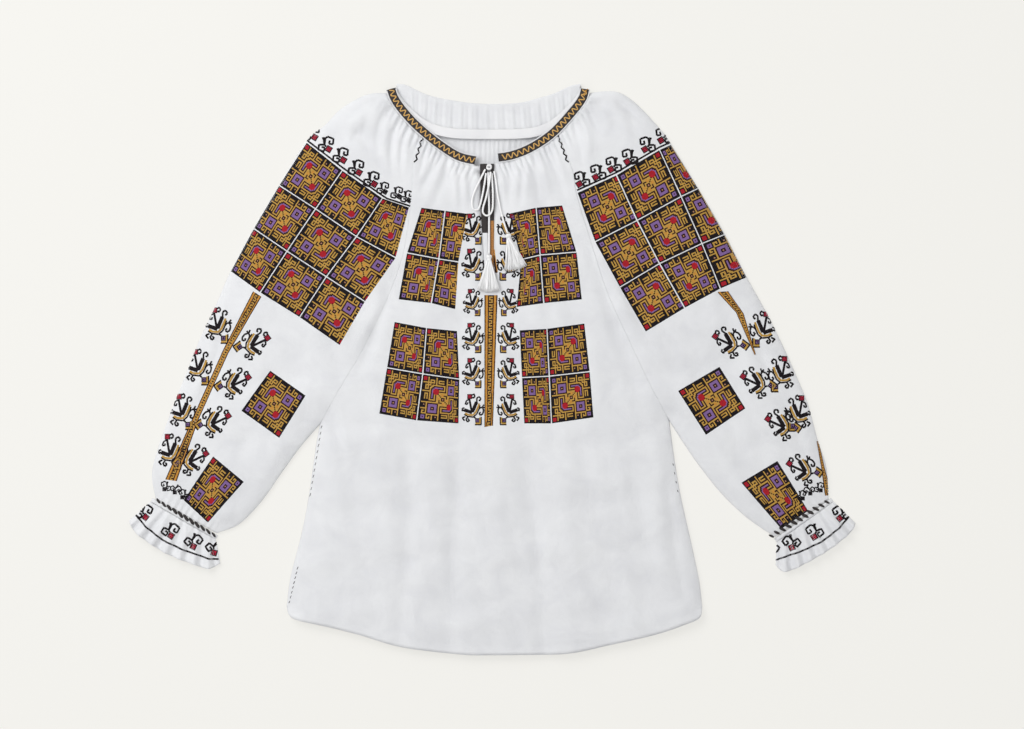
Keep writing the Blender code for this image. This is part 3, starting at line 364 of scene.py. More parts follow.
def backSeam(side, rows):
    top = np.array(backRaglanTop[side], float)
    notch = raglan[side].at(1)
    return top + (notch - top) * np.asarray(rows)[:, None]


def blendPatch(first, last, top, bottom, rows, cols):
    v = rows[:, None, None]
    u = cols[None, :, None]
    a, b = first[:, None], last[:, None]
    t, m = top[None], bottom[None]
    corners = ((1 - u) * (1 - v) * first[0] + u * (1 - v) * last[0]
               + (1 - u) * v * first[-1] + u * v * last[-1])
    return (1 - u) * a + u * b + (1 - v) * t + v * m - corners


def cuffColumns(count):
    # shares across a cuff, closer together towards its folded edges
    even = np.linspace(0, 1, count + 1)
    return 0.65 * even + 0.35 * (1 - np.cos(even * math.pi)) / 2


def cuffRing(innerLine, outerLine, rows, crownHeight, ripple, columns):
    over = cuffColumns(columns[0])
    beneath = np.concatenate([[.985, .955], np.linspace(.9, .1, columns[1]), [.045, .015]])
    grid = []
    for v in rows:
        ends = [innerLine.at(t) * (1 - v) + outerLine.at(t) * v for t in (0.0, 1.0)]
        width = np.linalg.norm(ends[1] - ends[0])
        ring = []
        for cols, reach, sense in ((over, width / 2, 1), (beneath, edgeRadius, -1)):
            d = np.minimum(cols, 1 - cols) * width
            k = 1 - np.clip(d / reach, 0, 1)
            rise = crownHeight(v) - edgeRadius if sense > 0 else -edgeRadius
            z = edgeRadius + rise * np.sqrt(1 - k * k)
            if sense > 0:
                wave = np.sin(2 * math.pi * frillWaves * cols + frillPhase)
                z = z + ripple(v) * wave * smooth(d / 9)
            plan = innerLine.at(cols) * (1 - v) + outerLine.at(cols) * v
            ring.append(np.concatenate([plan, z[:, None]], axis=1))
        grid.append(np.vstack(ring))
    return np.array(grid)


def ringNormals(grid):
    across = np.roll(grid, -1, axis=1) - np.roll(grid, 1, axis=1)
    along = np.gradient(grid, axis=0)
    normals = unit(np.cross(across, along))
    top = grid[..., 2].argmax()
    if normals.reshape(-1, 3)[top, 2] < 0:
        normals = -normals
    return normals


def bandRows():
    middle = (bandFrontZ + bandBackZ) / 2
    radius = (bandFrontZ - bandBackZ) / 2
    share = np.linspace(0.03, bandEndShare, 19)
    halves, tips = {}, {}
    for side, sign in (("left", 1), ("right", -1)):
        line = bandFront[side]
        centre, sewn = line.at(share), line.side(share) * sign
        z = bandFrontZ + bandRise * smooth((share - 0.1) / 0.4)
        half = [(*c, h, *w, (0, 0, 1)) for c, w, h in zip(centre, sewn, z)]
        forward = line.at(0.0) - line.at(0.06)
        forward /= np.linalg.norm(forward)
        fold = []
        for turn in (30, 70, 110, 150):
            bend = math.radians(turn)
            c = centre[0] + forward * radius * math.sin(bend)
            fold.append((*c, middle + radius * math.cos(bend), *sewn[0],
                         (*(forward * math.sin(bend)), math.cos(bend))))
        halves[side] = half
        tips[side] = (fold, centre[0], sewn[0])
    share = np.linspace(0.0, 1.0, 29)
    centre, sewn = bandBack.at(share), bandBack.side(share)
    for end, side in ((0, "left"), (1, "right")):
        _, tip, tipSewn = tips[side]
        weight = smooth(1 - np.abs(share - end) / 0.15)[:, None]
        shift = tip - bandBack.at(float(end))
        centre = centre + shift * weight
        sewn = sewn * (1 - weight) + tipSewn * weight
    sewn = unit(sewn)
    back = [(*c, bandBackZ, *w, (0, 0, -1)) for c, w in zip(centre, sewn)]
    return halves["left"][::-1] + tips["left"][0] + back + tips["right"][0][::-1] + halves["right"]


# Materials
def newMaterial(name, colour, roughness):
    mat = bpy.data.materials.new(name)
    mat.use_nodes = True
    shader = mat.node_tree.nodes["Principled BSDF"]
    shader.inputs["Base Color"].default_value = (*colour, 1)
    shader.inputs["Roughness"].default_value = roughness
    return mat, mat.node_tree, shader


def tone(red, green, blue):
    # a colour as seen on screen, turned linear
    return tuple(((c / 255 + 0.055) / 1.055) ** 2.4 if c > 10 else c / 3294.6 for c in (red, green, blue))


def addNode(tree, kind, **values):
    node = tree.nodes.new(kind)
    for key, value in values.items():
        if key in node.inputs:
            node.inputs[key].default_value = value
        else:
            setattr(node, key, value)
    return node


def addRamp(tree, dark, light, low, high):
    ramp = tree.nodes.new("ShaderNodeValToRGB")
    for stop, colour, place in zip(ramp.color_ramp.elements, (dark, light), (low, high)):
        stop.color = (*colour, 1)
        stop.position = place
    return ramp


def addBump(tree, shader, height, strength, distance):
    bump = addNode(tree, "ShaderNodeBump", Strength=strength, Distance=distance)
    tree.links.new(height, bump.inputs["Height"])
    tree.links.new(bump.outputs["Normal"], shader.inputs["Normal"])


def makeWeaveGroup():
    # woven cloth: crossing threads, slubs and soft creases as one height; the crease noise also goes out as
    # painted shade, which darkens the colour in the creases' troughs
    group = bpy.data.node_groups.new("linenWeave", "ShaderNodeTree")
    face = group.interface
    face.new_socket("Pitch", in_out="INPUT", socket_type="NodeSocketFloat").default_value = 1700
    face.new_socket("Crease", in_out="INPUT", socket_type="NodeSocketFloat").default_value = 0.6
    face.new_socket("Height", in_out="OUTPUT", socket_type="NodeSocketFloat")
    face.new_socket("Shade", in_out="OUTPUT", socket_type="NodeSocketFloat")
    start = group.nodes.new("NodeGroupInput")
    end = group.nodes.new("NodeGroupOutput")
    coord = group.nodes.new("ShaderNodeTexCoord")
    link = group.links.new
    waves = []
    for direction in ("X", "Y"):
        wave = addNode(group, "ShaderNodeTexWave", bands_direction=direction, Distortion=1.2, Detail=1.0)
        link(coord.outputs["Object"], wave.inputs["Vector"])
        link(start.outputs["Pitch"], wave.inputs["Scale"])
        waves.append(wave)
    both = addNode(group, "ShaderNodeMath", operation="ADD")
    link(waves[0].outputs["Fac"], both.inputs[0])
    link(waves[1].outputs["Fac"], both.inputs[1])
    slub = addNode(group, "ShaderNodeTexNoise", Scale=130.0, Detail=5.0)
    crease = addNode(group, "ShaderNodeTexNoise", Scale=26.0, Detail=6.0, Roughness=0.55, Distortion=0.6)
    link(coord.outputs["Object"], slub.inputs["Vector"])
    link(coord.outputs["Object"], crease.inputs["Vector"])
    fine = addNode(group, "ShaderNodeMath", operation="MULTIPLY_ADD")
    fine.inputs[1].default_value = 0.10
    link(both.outputs[0], fine.inputs[0])
    link(slub.outputs["Fac"], fine.inputs[2])
    soft = addNode(group, "ShaderNodeMath", operation="MULTIPLY_ADD")
    link(crease.outputs["Fac"], soft.inputs[0])
    link(start.outputs["Crease"], soft.inputs[1])
    small = addNode(group, "ShaderNodeMath", operation="MULTIPLY")
    small.inputs[1].default_value = 0.24
    link(fine.outputs[0], small.inputs[0])
    link(small.outputs[0], soft.inputs[2])
    link(soft.outputs[0], end.inputs["Height"])
    link(crease.outputs["Fac"], end.inputs["Shade"])
    return group


weaveGroup = makeWeaveGroup()


def makeLinen(name, light, dark, creaseStrength):
    mat, tree, shader = newMaterial(name, light, 0.9)
    weave = tree.nodes.new("ShaderNodeGroup")
    weave.node_tree = weaveGroup
    weave.inputs["Pitch"].default_value = 1750
    weave.inputs["Crease"].default_value = creaseStrength
    # painted crease shade: the colour goes from the light tone to the dark one towards the creases' troughs
    ramp = addRamp(tree, dark, light, 0.3, 0.62)
    tree.links.new(weave.outputs["Shade"], ramp.inputs["Fac"])
    tree.links.new(ramp.outputs["Color"], shader.inputs["Base Color"])
    addBump(tree, shader, weave.outputs["Height"], 0.75, 0.0026)
    shader.inputs["Sheen Weight"].default_value = 0.08
    shader.inputs["Sheen Roughness"].default_value = 0.6
    return mat


def makeThread(name, colour, dark, pitch, strength=0.6):
    # stitched or twisted thread with fine strands
    mat, tree, shader = newMaterial(name, colour, 0.62)
    coord = tree.nodes.new("ShaderNodeTexCoord")
    strand = addNode(tree, "ShaderNodeTexNoise", Scale=pitch, Detail=3.0, Roughness=0.6)
    ramp = addRamp(tree, dark, colour, 0.3, 0.6)
    tree.links.new(coord.outputs["Object"], strand.inputs["Vector"])
    tree.links.new(strand.outputs["Fac"], ramp.inputs["Fac"])
    tree.links.new(ramp.outputs["Color"], shader.inputs["Base Color"])
    addBump(tree, shader, strand.outputs["Fac"], strength, 0.0004)
    return mat


# the second colour of each linen is painted shade in its creases
linen = makeLinen("linen", tone(238, 239, 241), tone(230, 231, 234), 0.6)
bandLinen = makeLinen("bandLinen", tone(246, 246, 247), tone(238, 238, 240), 0.3)
blackStitch = makeThread("blackStitch", tone(44, 36, 36), tone(16, 12, 12), 900, 1.0)
lightCord = makeThread("lightCord", tone(254, 254, 254), tone(244, 244, 245), 1500)
ochreStitch = makeThread("ochreStitch", tone(196, 134, 62), tone(96, 58, 34), 900, 1.0)
whiteCord = makeThread("whiteCord", tone(236, 236, 238), tone(214, 214, 216), 1200)


def makeEmbroideryThread():
    # every stitch carries its own thread colour
    mat, tree, shader = newMaterial("embroideryThread", tone(195, 155, 65), 0.7)
    shader.inputs["Specular IOR Level"].default_value = 0.15
    colour = tree.nodes.new("ShaderNodeAttribute")
    colour.attribute_name = "threadColour"
    coord = tree.nodes.new("ShaderNodeTexCoord")
    patch = addNode(tree, "ShaderNodeTexNoise", Scale=420.0, Detail=3.0)
    mix = addNode(tree, "ShaderNodeMix", data_type="RGBA", blend_type="MULTIPLY")
    mix.inputs["Factor"].default_value = 0.3
    ramp = addRamp(tree, (0.45, 0.42, 0.42), (1, 1, 1), 0.35, 0.6)
    tree.links.new(coord.outputs["Object"], patch.inputs["Vector"])
    tree.links.new(colour.outputs["Color"], mix.inputs[6])
    tree.links.new(patch.outputs["Fac"], ramp.inputs["Fac"])
    tree.links.new(ramp.outputs["Color"], mix.inputs[7])
    tree.links.new(mix.outputs[2], shader.inputs["Base Color"])
    addBump(tree, shader, patch.outputs["Fac"], 0.5, 0.0003)
    return mat


embroideryThread = makeEmbroideryThread()
threads = {"black": tone(24, 18, 22), "brown": tone(48, 24, 22), "gold": tone(190, 149, 72),
           "ochre": tone(198, 140, 60), "red": tone(172, 30, 40), "crimson": tone(150, 32, 54),
           "rose": tone(190, 42, 66), "violet": tone(132, 102, 156), "pink": tone(178, 130, 104),
           "bandGold": tone(214, 170, 100)}


# Meshes
def addObject(name, verts, faces, mats, slots=None, uvs=None):
    mesh = bpy.data.meshes.new(name)
    mesh.from_pydata([tuple(v) for v in verts], [], faces)
    for mat in mats:
        mesh.materials.append(mat)
    if slots is not None:
        mesh.polygons.foreach_set("material_index", slots)
    mesh.polygons.foreach_set("use_smooth", [True] * len(mesh.polygons))
    mesh.calc_loop_triangles()
    if uvs is not None:
        layer = mesh.uv_layers.new(name="plan")
        place = np.array([v[:2] for v in verts], float)
        index = np.empty(len(mesh.loops), int)
        mesh.loops.foreach_get("vertex_index", index)
        layer.data.foreach_set("uv", place[index].ravel())
    return putInScene(name, mesh)


def gridNormals(points):
    across = np.gradient(points, axis=1)
    down = np.gradient(points, axis=0)
    return unit(np.cross(down, across))


def clothShell(name, points, normals, thickness, mat, skip=None, wrap=False):
    rows, cols = points.shape[:2]
    inner = points - normals * thickness
    verts = np.vstack([points.reshape(-1, 3), inner.reshape(-1, 3)]) * mm
    half = rows * cols
    last = cols if wrap else cols - 1
    r, c = np.meshgrid(np.arange(rows - 1), np.arange(last), indexing="ij")
    r, c = r.ravel(), c.ravel()
    if skip is not None:
        keep = ~skip(r, c)
        r, c = r[keep], c[keep]
    nxt = (c + 1) % cols
    quads = np.stack([r * cols + c, r * cols + nxt, (r + 1) * cols + nxt, (r + 1) * cols + c], axis=1)
    edges = np.vstack([quads[:, [k, (k + 1) % 4]] for k in range(4)])
    seen = {tuple(edge) for edge in edges.tolist()}
    rim = [edge for edge in edges.tolist() if (edge[1], edge[0]) not in seen]
    faces = quads.tolist() + (quads[:, ::-1] + half).tolist()
    faces += [(b, a, half + a, half + b) for a, b in rim]
    used = np.unique(np.array([k for face in faces for k in face]))
    new = np.zeros(2 * half, int)
    new[used] = np.arange(len(used))
    faces = [tuple(new[list(face)].tolist()) for face in faces]
    obj = addObject(name, verts[used], faces, [mat], uvs=True)
    corner = verts[quads]
    up = np.cross(corner[:, 1] - corner[:, 0], corner[:, 3] - corner[:, 0])
    facing = np.einsum("ij,ij->i", up, normals.reshape(-1, 3)[quads[:, 0]]).sum()
    if facing < 0:
        obj.data.flip_normals()
    return obj


def ringFaces(count, sides, close=True):
    # faces between rings of points, and the two ends
    faces = []
    for k in range(count - 1):
        for n in range(sides):
            m = (n + 1) % sides
            faces.append((k * sides + n, k * sides + m, (k + 1) * sides + m, (k + 1) * sides + n))
    if close:
        faces.append(tuple(range(sides))[::-1])
        faces.append(tuple(range((count - 1) * sides, count * sides)))
    return faces


def tube(path, radius, sides=8, close=True):
    # a round tube along points, as vertices and faces
    path = np.asarray(path, float)
    radius = np.broadcast_to(np.asarray(radius, float), (len(path),))
    ahead = unit(np.gradient(path, axis=0))
    up = np.array([0, 0, 1.0])
    side = np.cross(ahead, up)
    weak = np.linalg.norm(side, axis=1) < 1e-3
    side[weak] = (1, 0, 0)
    side = unit(side)
    top = np.cross(side, ahead)
    angle = np.linspace(0, 2 * math.pi, sides, endpoint=False)
    ring = (side[:, None] * np.cos(angle)[None, :, None] + top[:, None] * np.sin(angle)[None, :, None])
    verts = (path[:, None] + ring * radius[:, None, None]).reshape(-1, 3)
    return verts, ringFaces(len(path), sides, close)


def addTubes(name, parts, mat):
    # many tubes as one piece
    verts, faces = [], []
    for partVerts, partFaces in parts:
        base = sum(len(v) for v in verts)
        verts.append(np.asarray(partVerts))
        faces += [tuple(base + k for k in face) for face in partFaces]
    return addObject(name, np.vstack(verts) * mm, faces, [mat])


# Heights of the flat blouse
def inChunks(job, points, size=6000):
    flat = points.reshape(-1, 2)
    parts = [job(flat[k:k + size]) for k in range(0, len(flat), size)]
    if isinstance(parts[0], tuple):
        return tuple(np.concatenate([p[n] for p in parts]).reshape(points.shape[:-1] + parts[0][n].shape[1:])
                     for n in range(len(parts[0])))
    return np.concatenate(parts).reshape(points.shape[:-1])


def wobble(points, size, seed):
    # smooth uneven waves across the plan, about -1 to 1
    x, y = points[..., 0] / size, points[..., 1] / size
    total = 0.0
    for n in range(5):
        angle = 1.7 * n + seed
        total = total + np.sin(x * math.cos(angle) * (1 + 0.37 * n) + y * math.sin(angle) * (1 + 0.29 * n)
                               + 2.1 * n * seed)
    return total / 3.2


details = {"seamGroove": 0.05, "seamHalf": 2.0,
           "hemLine": 9.5, "hemGroove": 0.5, "hemStitch": 1.6, "hemSwell": 0.35, "hemSwellHalf": 3.5,
           "gatherHeight": 2.0, "gatherPitch": 7.0, "gatherReach": 15,
           "wristHeight": 0.8, "wristPitch": 8.8, "wristReach": 16,
           "softHeight": 1.6, "softSize": 24.0, "smallSize": 11.0}


def coverHeight(flat):
    d, inward = nearest(flat, foldedEdges)
    z = crown(d) + relief(flat, d) + seamGap / 2
    inside = smooth((d - 3) / 10)
    seams, _ = nearest(flat, [raglan["left"].fine, raglan["right"].fine])
    z = z - details["seamGroove"] * np.exp(-(seams / details["seamHalf"]) ** 2) * inside
    low, _ = nearest(flat, [hem["left"].fine, hem["right"].fine])
    z = z - details["hemGroove"] * np.exp(-((low - details["hemLine"]) / details["hemStitch"]) ** 2)
    z = z + details["hemSwell"] * np.exp(-((low - details["hemLine"] * 0.5) / details["hemSwellHalf"]) ** 2)
    for side in neckEdge:
        line = neckEdge[side]
        gap, _ = nearest(flat, [line.fine])
        run = flat[:, 0] * (0.82 if side == "left" else -0.82) - flat[:, 1] * 0.35
        phase = 2 * math.pi * run / details["gatherPitch"] + 1.4 * np.sin(run / 9.0) + 0.8 * np.sin(run / 4.1)
        fade = np.exp(-(gap / details["gatherReach"]) ** 2) * smooth(gap / 2.5) * inside
        z = z + details["gatherHeight"] * np.sin(phase) * fade
    for side in wristLine:
        gap, _ = nearest(flat, [np.array(wristLine[side], float)])
        (ax, ay), (bx, by) = wristLine[side]
        along = (flat[:, 0] - ax) * (bx - ax) + (flat[:, 1] - ay) * (by - ay)
        along = along / math.hypot(bx - ax, by - ay)
        phase = 2 * math.pi * along / details["wristPitch"] + 0.7 * np.sin(along / 7)
        fade = np.exp(-(gap / details["wristReach"]) ** 2) * inside
        z = z + details["wristHeight"] * np.sin(phase) * fade
    soft = wobble(flat, details["softSize"], 1.3) + 0.5 * wobble(flat, details["smallSize"], 2.9)
    return z + details["softHeight"] * soft * smooth((d - 6) / 20), d, inward


def cover(plan):
    # upper layer: points and outward normals
    z, d, inward = inChunks(coverHeight, plan)
    points = np.concatenate([plan, z[..., None]], axis=-1)
    normals = gridNormals(points)
    normals *= np.sign(normals[..., 2:3] + 1e-9)
    slope = crownSlope(d)[..., None] * inward
    rolled = unit(np.concatenate([-slope, np.ones(slope.shape[:-1] + (1,))], axis=-1))
    near = smooth(1 - d / 8)[..., None]
    normals = normals * (1 - near) + rolled * near
    return points, unit(normals)


def beneath(plan):
    # the layer on the floor, turned up at the folded edges
    d, inward = inChunks(lambda flat: nearest(flat, foldedEdges), plan)
    k = 1 - np.clip(d / edgeRadius, 0, 1)
    z = edgeRadius - edgeRadius * np.sqrt(1 - k * k) - seamGap / 2 * k * k
    normals = np.concatenate([-inward * k[..., None], -np.sqrt(1 - k * k)[..., None]], axis=-1)
    return np.concatenate([plan, z[..., None]], axis=-1), normals


# Drawstring, its knot and tassels, which lie on the front
cordLook = {"strands": 3, "strandRadius": 0.78, "strandOffset": 0.55, "lay": 6.5, "step": 0.9}


def cordPath(name):
    route = Curve(cordRoutes[name])
    count = max(8, round(route.length / (cordDiameter * 2.2)))
    share = np.linspace(0, 1, count)
    plan = route.at(share)
    first, middle, last = cordLift[name]
    lift = np.interp(share, [0, 0.5, 1], [first, middle, last])
    z = baseHeight(plan) + cordDiameter / 2 + lift
    if name.startswith("tail"):
        level = tasselFrame(name.replace("tail", "tassel"))[3]
        z = z + (level - z) * smooth((share - 0.6) / 0.4)
    return Curve(np.column_stack([plan, z]), steps=6).fine


def baseHeight(plan):
    d, _ = nearest(plan, foldedEdges)
    return crown(d) + relief(plan, d) + seamGap / 2


def tasselFrame(name):
    (x, y), (dx, dy) = tasselPlaces[name]
    run = np.array([dx, dy]) / math.hypot(dx, dy)
    across = np.array([run[1], -run[0]])
    spots = []
    for along in np.linspace(0, tasselHead + tasselSkirt, 9):
        for wide in np.linspace(-1, 1, 5):
            spread = wide * tasselSpread * min(1.0, along / tasselSkirt)
            spots.append(np.array([x, y]) + run * along + across * spread)
    return np.array([x, y], float), run, across, float(baseHeight(np.array(spots)).max()) + tasselRest


def makeCord(name):
    path = cordPath(name)
    fine = Curve(path, steps=1)
    steps = int(fine.length / cordLook["step"])
    line = fine.at(np.linspace(0, 1, steps))
    ahead = unit(np.gradient(line, axis=0))
    side = unit(np.cross(ahead, (0, 0, 1.0)))
    top = np.cross(side, ahead)
    run = np.linspace(0, fine.length, steps)
    parts = []
    for k in range(cordLook["strands"]):
        turn = 2 * math.pi * (run / cordLook["lay"] + k / cordLook["strands"])
        off = side * np.cos(turn)[:, None] + top * np.sin(turn)[:, None]
        strand = line + cordLook["strandOffset"] * off
        parts.append(tube(strand, cordLook["strandRadius"], sides=7))
    return addTubes(name + "_cord", parts, lightCord), path * mm, fine.length * mm


# Head outline as distance along it and radius, then the windings, the wraps and the threads
tasselLook = {"profile": [(0.3, 1.1), (1.0, 2.5), (2.4, 3.3), (4.2, 3.3), (5.6, 2.7), (6.6, 2.5), (7.6, 2.7),
                          (8.6, 3.3)],
              "windings": (5.6, 6.2, 6.8), "windingRadius": 0.36, "windingOut": 2.75,
              "wraps": 22, "wrapRadius": 0.42, "threads": 118, "threadRadius": 0.46}


def makeTassel(name):
    start, run, across, level = tasselFrame(name)
    rng = np.random.default_rng(7 if name.endswith("left") else 11)

    def place(along, side, up):
        return np.column_stack([start[0] + run[0] * along + across[0] * side,
                                start[1] + run[1] * along + across[1] * side, level + up])
    parts = []
    profile = np.array(tasselLook["profile"])
    headLine = place(profile[:, 0], profile[:, 0] * 0, profile[:, 0] * 0)
    parts.append(tube(headLine, profile[:, 1], sides=20))
    for along in tasselLook["windings"]:
        angle = np.linspace(0, 2 * math.pi, 25)
        out = tasselLook["windingOut"]
        ring = place(along + 0 * angle, out * np.cos(angle), out * np.sin(angle))
        parts.append(tube(ring, tasselLook["windingRadius"], sides=6, close=False))
    for k in range(tasselLook["wraps"]):
        turn = 2 * math.pi * k / tasselLook["wraps"]
        along = np.linspace(0.9, 5.4, 7)
        radius = np.interp(along, profile[:, 0], profile[:, 1]) + 0.12
        wrap = place(along, radius * math.cos(turn), radius * math.sin(turn))
        parts.append(tube(wrap, tasselLook["wrapRadius"], sides=5))
    count = tasselLook["threads"]
    for k in range(count):
        fan = -1 + 2 * (k + 0.5) / count + rng.uniform(-0.03, 0.03)
        layer = rng.uniform(-1, 1)
        reach = tasselSkirt * (1 - 0.06 * fan * fan) * rng.uniform(0.93, 1.01)
        t = np.linspace(0, 1, 9)
        root = 3.0 * math.sqrt(max(0.05, 1 - layer * layer * 0.7))
        side = fan * (root + (tasselSpread * 0.97 - root) * (0.35 * t + 0.65 * t ** 1.15))
        side = side + rng.uniform(-0.7, 0.7) * np.sin(t * math.pi * rng.uniform(0.8, 1.6)) * t
        up = layer * (2.6 - 1.0 * t) + rng.uniform(-0.3, 0.3) * np.sin(t * 5)
        up = np.maximum(up, -2.9)
        radius = tasselLook["threadRadius"] - 0.08 * t
        parts.append(tube(place(tasselHead - 0.6 + reach * t, side, up), radius, sides=5))
    return addTubes(name + "_fringe", parts, lightCord)


# Each turn of the bow's knot: direction, tilt and size
knotTurns = [(0.3, 0.5, 1.0), (1.5, -0.45, 0.92), (2.6, 0.25, 0.96)]


def makeKnot():
    cx, cy = knotPlace
    level = float(baseHeight(np.array([[cx, cy]], float))[0]) + bindingProud + seamGap + knotSize[2]
    parts = []
    for turn, tilt, big in knotTurns:
        angle = np.linspace(0, 2 * math.pi, 41)
        x = knotSize[0] * 0.62 * big * np.cos(angle)
        y = knotSize[1] * 0.62 * big * np.sin(angle)
        z = knotSize[2] * 0.5 * np.sin(2 * angle + turn)
        px = cx + x * math.cos(turn) - y * math.sin(turn) * (1 - abs(tilt) * 0.3)
        py = cy + x * math.sin(turn) + y * math.cos(turn)
        for k in range(3):
            twist = angle * 5 + 2 * math.pi * k / 3
            strand = np.column_stack([px + 0.5 * np.cos(twist), py + 0.5 * np.cos(twist + 1.2),
                                      level + z + 0.5 * np.sin(twist)])
            parts.append(tube(strand, 0.72, sides=7, close=False))
    return addTubes("cord_knot_wraps", parts, lightCord)


tasselPieces = {name: makeTassel(name) for name in tasselPlaces}
knotPiece = makeKnot()
cordPieces = {name: makeCord(name) for name in cordRoutes}
print("drawstring and tassels made")


# Front panel
frontLook = {"raglanRows": 104, "sideRows": 58, "halfCols": 84, "neckEnd": 0.985, "sideShare": 0.74}


def halfFront(side):
    cols = np.concatenate([[0, .003, .008, .016, .027, .042, .06],
                           np.linspace(.08, 1, frontLook["halfCols"])])
    ragRows = np.linspace(0, 1, frontLook["raglanRows"]) ** 1.15
    sideRows = np.linspace(0, 1, frontLook["sideRows"] + 1)[1:]
    edge = np.vstack([raglan[side].at(ragRows), bodySide[side].at(sideRows)])
    travel = np.concatenate([ragRows, 1 + sideRows * frontLook["sideShare"]])
    rows = travel / travel[-1]
    start = neckShare(side)
    top = neckEdge[side].at(start + (frontLook["neckEnd"] - start) * cols)
    top[0] = edge[0]
    bottom = hem[side].at(cols)
    y = top[-1, 1] + (bottom[-1, 1] - top[-1, 1]) * rows
    split = int(np.abs(y - slitEnd).argmin())
    y[split] = slitEnd
    column = 1 if side == "left" else 2
    table = np.array(slitTable)[::-1]
    x = np.interp(y, table[:, 0], table[:, column])
    x = np.where(y < slitEnd, x + (bottom[-1, 0] - x) * (slitEnd - y) / (slitEnd - y[-1]), x)
    innerEdge = np.stack([x, y], axis=-1)
    top[-1] = innerEdge[0]
    return blendPatch(edge, innerEdge, top, bottom, rows, cols), split


leftHalf, split = halfFront("left")
rightHalf = halfFront("right")[0]
centreCol = leftHalf.shape[1] - 1
frontPlan = np.concatenate([leftHalf, rightHalf[:, ::-1]], axis=1)
points, normals = cover(frontPlan)
frontCloth = clothShell("frontLinen", points, normals, clothWall, linen,
                        skip=lambda r, c: (c == centreCol) & (r < split))
print("front made")


# Back panel, rolled over at the neck
backLook = {"cols": 180, "sideRows": 26, "seamRows": 40, "flapRows": 9,
            "gatherPitch": 6.5, "gatherHeight": 0.8, "smallGathers": 37, "rippleGain": 1.15}


def makeBack():
    cols = np.concatenate([[0, .002, .005, .01, .018, .028], np.linspace(.04, .96, backLook["cols"]),
                           [.972, .982, .99, .995, .998, 1]])
    upRows = np.linspace(0.04, 1, backLook["seamRows"])
    sideRows = np.linspace(0, 1, backLook["sideRows"] + 1)[1:]
    edges = {}
    for side, sign in (("left", 1), ("right", -1)):
        inset = np.array([sign * seamGap / 2, 0])
        edges[side] = np.vstack([bodySide[side].at(sideRows[::-1]), backSeam(side, [1.0]) + inset,
                                 backSeam(side, 1 - upRows) + inset])
    rows = np.linspace(0, 1, len(edges["left"]))
    hemLine = Curve(np.vstack([hem["left"].fine, hem["right"].fine[::-1]]), steps=1)
    roll = Curve(backTop).at(cols) - np.array([0, backRoll])
    edges["left"][-1] = roll[0]
    edges["right"][-1] = roll[-1]
    plan = blendPatch(edges["left"], edges["right"], hemLine.at(cols), roll, rows, cols)
    points, normals = beneath(plan)
    turns = 2 * math.pi * plan[..., 0] / backLook["gatherPitch"]
    gather = backLook["gatherHeight"] * np.sin(turns + 1.3 * np.sin(plan[..., 0] / 7))
    front = smooth((plan[..., 1] - 252) / 26) * smooth((349 - plan[..., 1]) / 6)
    middle = smooth((60 - np.abs(plan[..., 0] - 2)) / 30)
    points[..., 2] += (gather + backLook["gatherHeight"]) * front * middle
    points[-1, :, 2] = 0
    normals[-1] = (0, 0, -1)
    layers, layerNormals = [points], [normals]
    for turn in range(15, 165, 15):
        angle = math.radians(turn)
        ring = np.concatenate([roll, np.zeros((len(cols), 1))], axis=1)
        ring[:, 1] += backRoll * math.sin(angle)
        ring[:, 2] = backRoll * (1 - math.cos(angle))
        layers.append(ring[None])
        layerNormals.append(np.tile([0, math.sin(angle), -math.cos(angle)], (1, len(cols), 1)))
    flapEnd = Curve(backFlapEnd).at(cols)
    flapRows = np.linspace(0, 1, backLook["flapRows"])[:, None, None]
    flap = roll[None] * (1 - flapRows) + flapEnd[None] * flapRows
    fade = smooth(cols * 12) * smooth(12 - cols * 12)
    ripple = np.sin(2 * math.pi * backGathers * cols)
    ripple = (ripple + 0.5 * np.sin(2 * math.pi * backLook["smallGathers"] * cols + 1.1)) * fade
    swell = np.interp(flapRows.ravel(), [0, .3, .65, 1], [.25, .8, .7, .35])[:, None]
    height = 2 * backRoll + backRipple * backLook["rippleGain"] * ripple[None] * swell
    across = np.gradient(height, axis=1) / np.gradient(flap[..., 0], axis=1)
    tilt = np.stack([-across, np.zeros_like(across), np.ones_like(across)], axis=-1)
    layers.append(np.concatenate([flap, height[..., None]], axis=-1))
    layerNormals.append(unit(tilt))
    return clothShell("backLinen", np.concatenate(layers), np.concatenate(layerNormals), clothWall, linen)


backCloth = makeBack()
print("back made")


# Sleeves
sleeveNotch = {"left": 0.625, "right": 0.615}
sleeveLook = {"raglanRows": 96, "underRows": 72, "topCols": 60, "floorCols": 12, "narrowRows": 8,
              "tip": 0.035, "neckBend": 0.25}


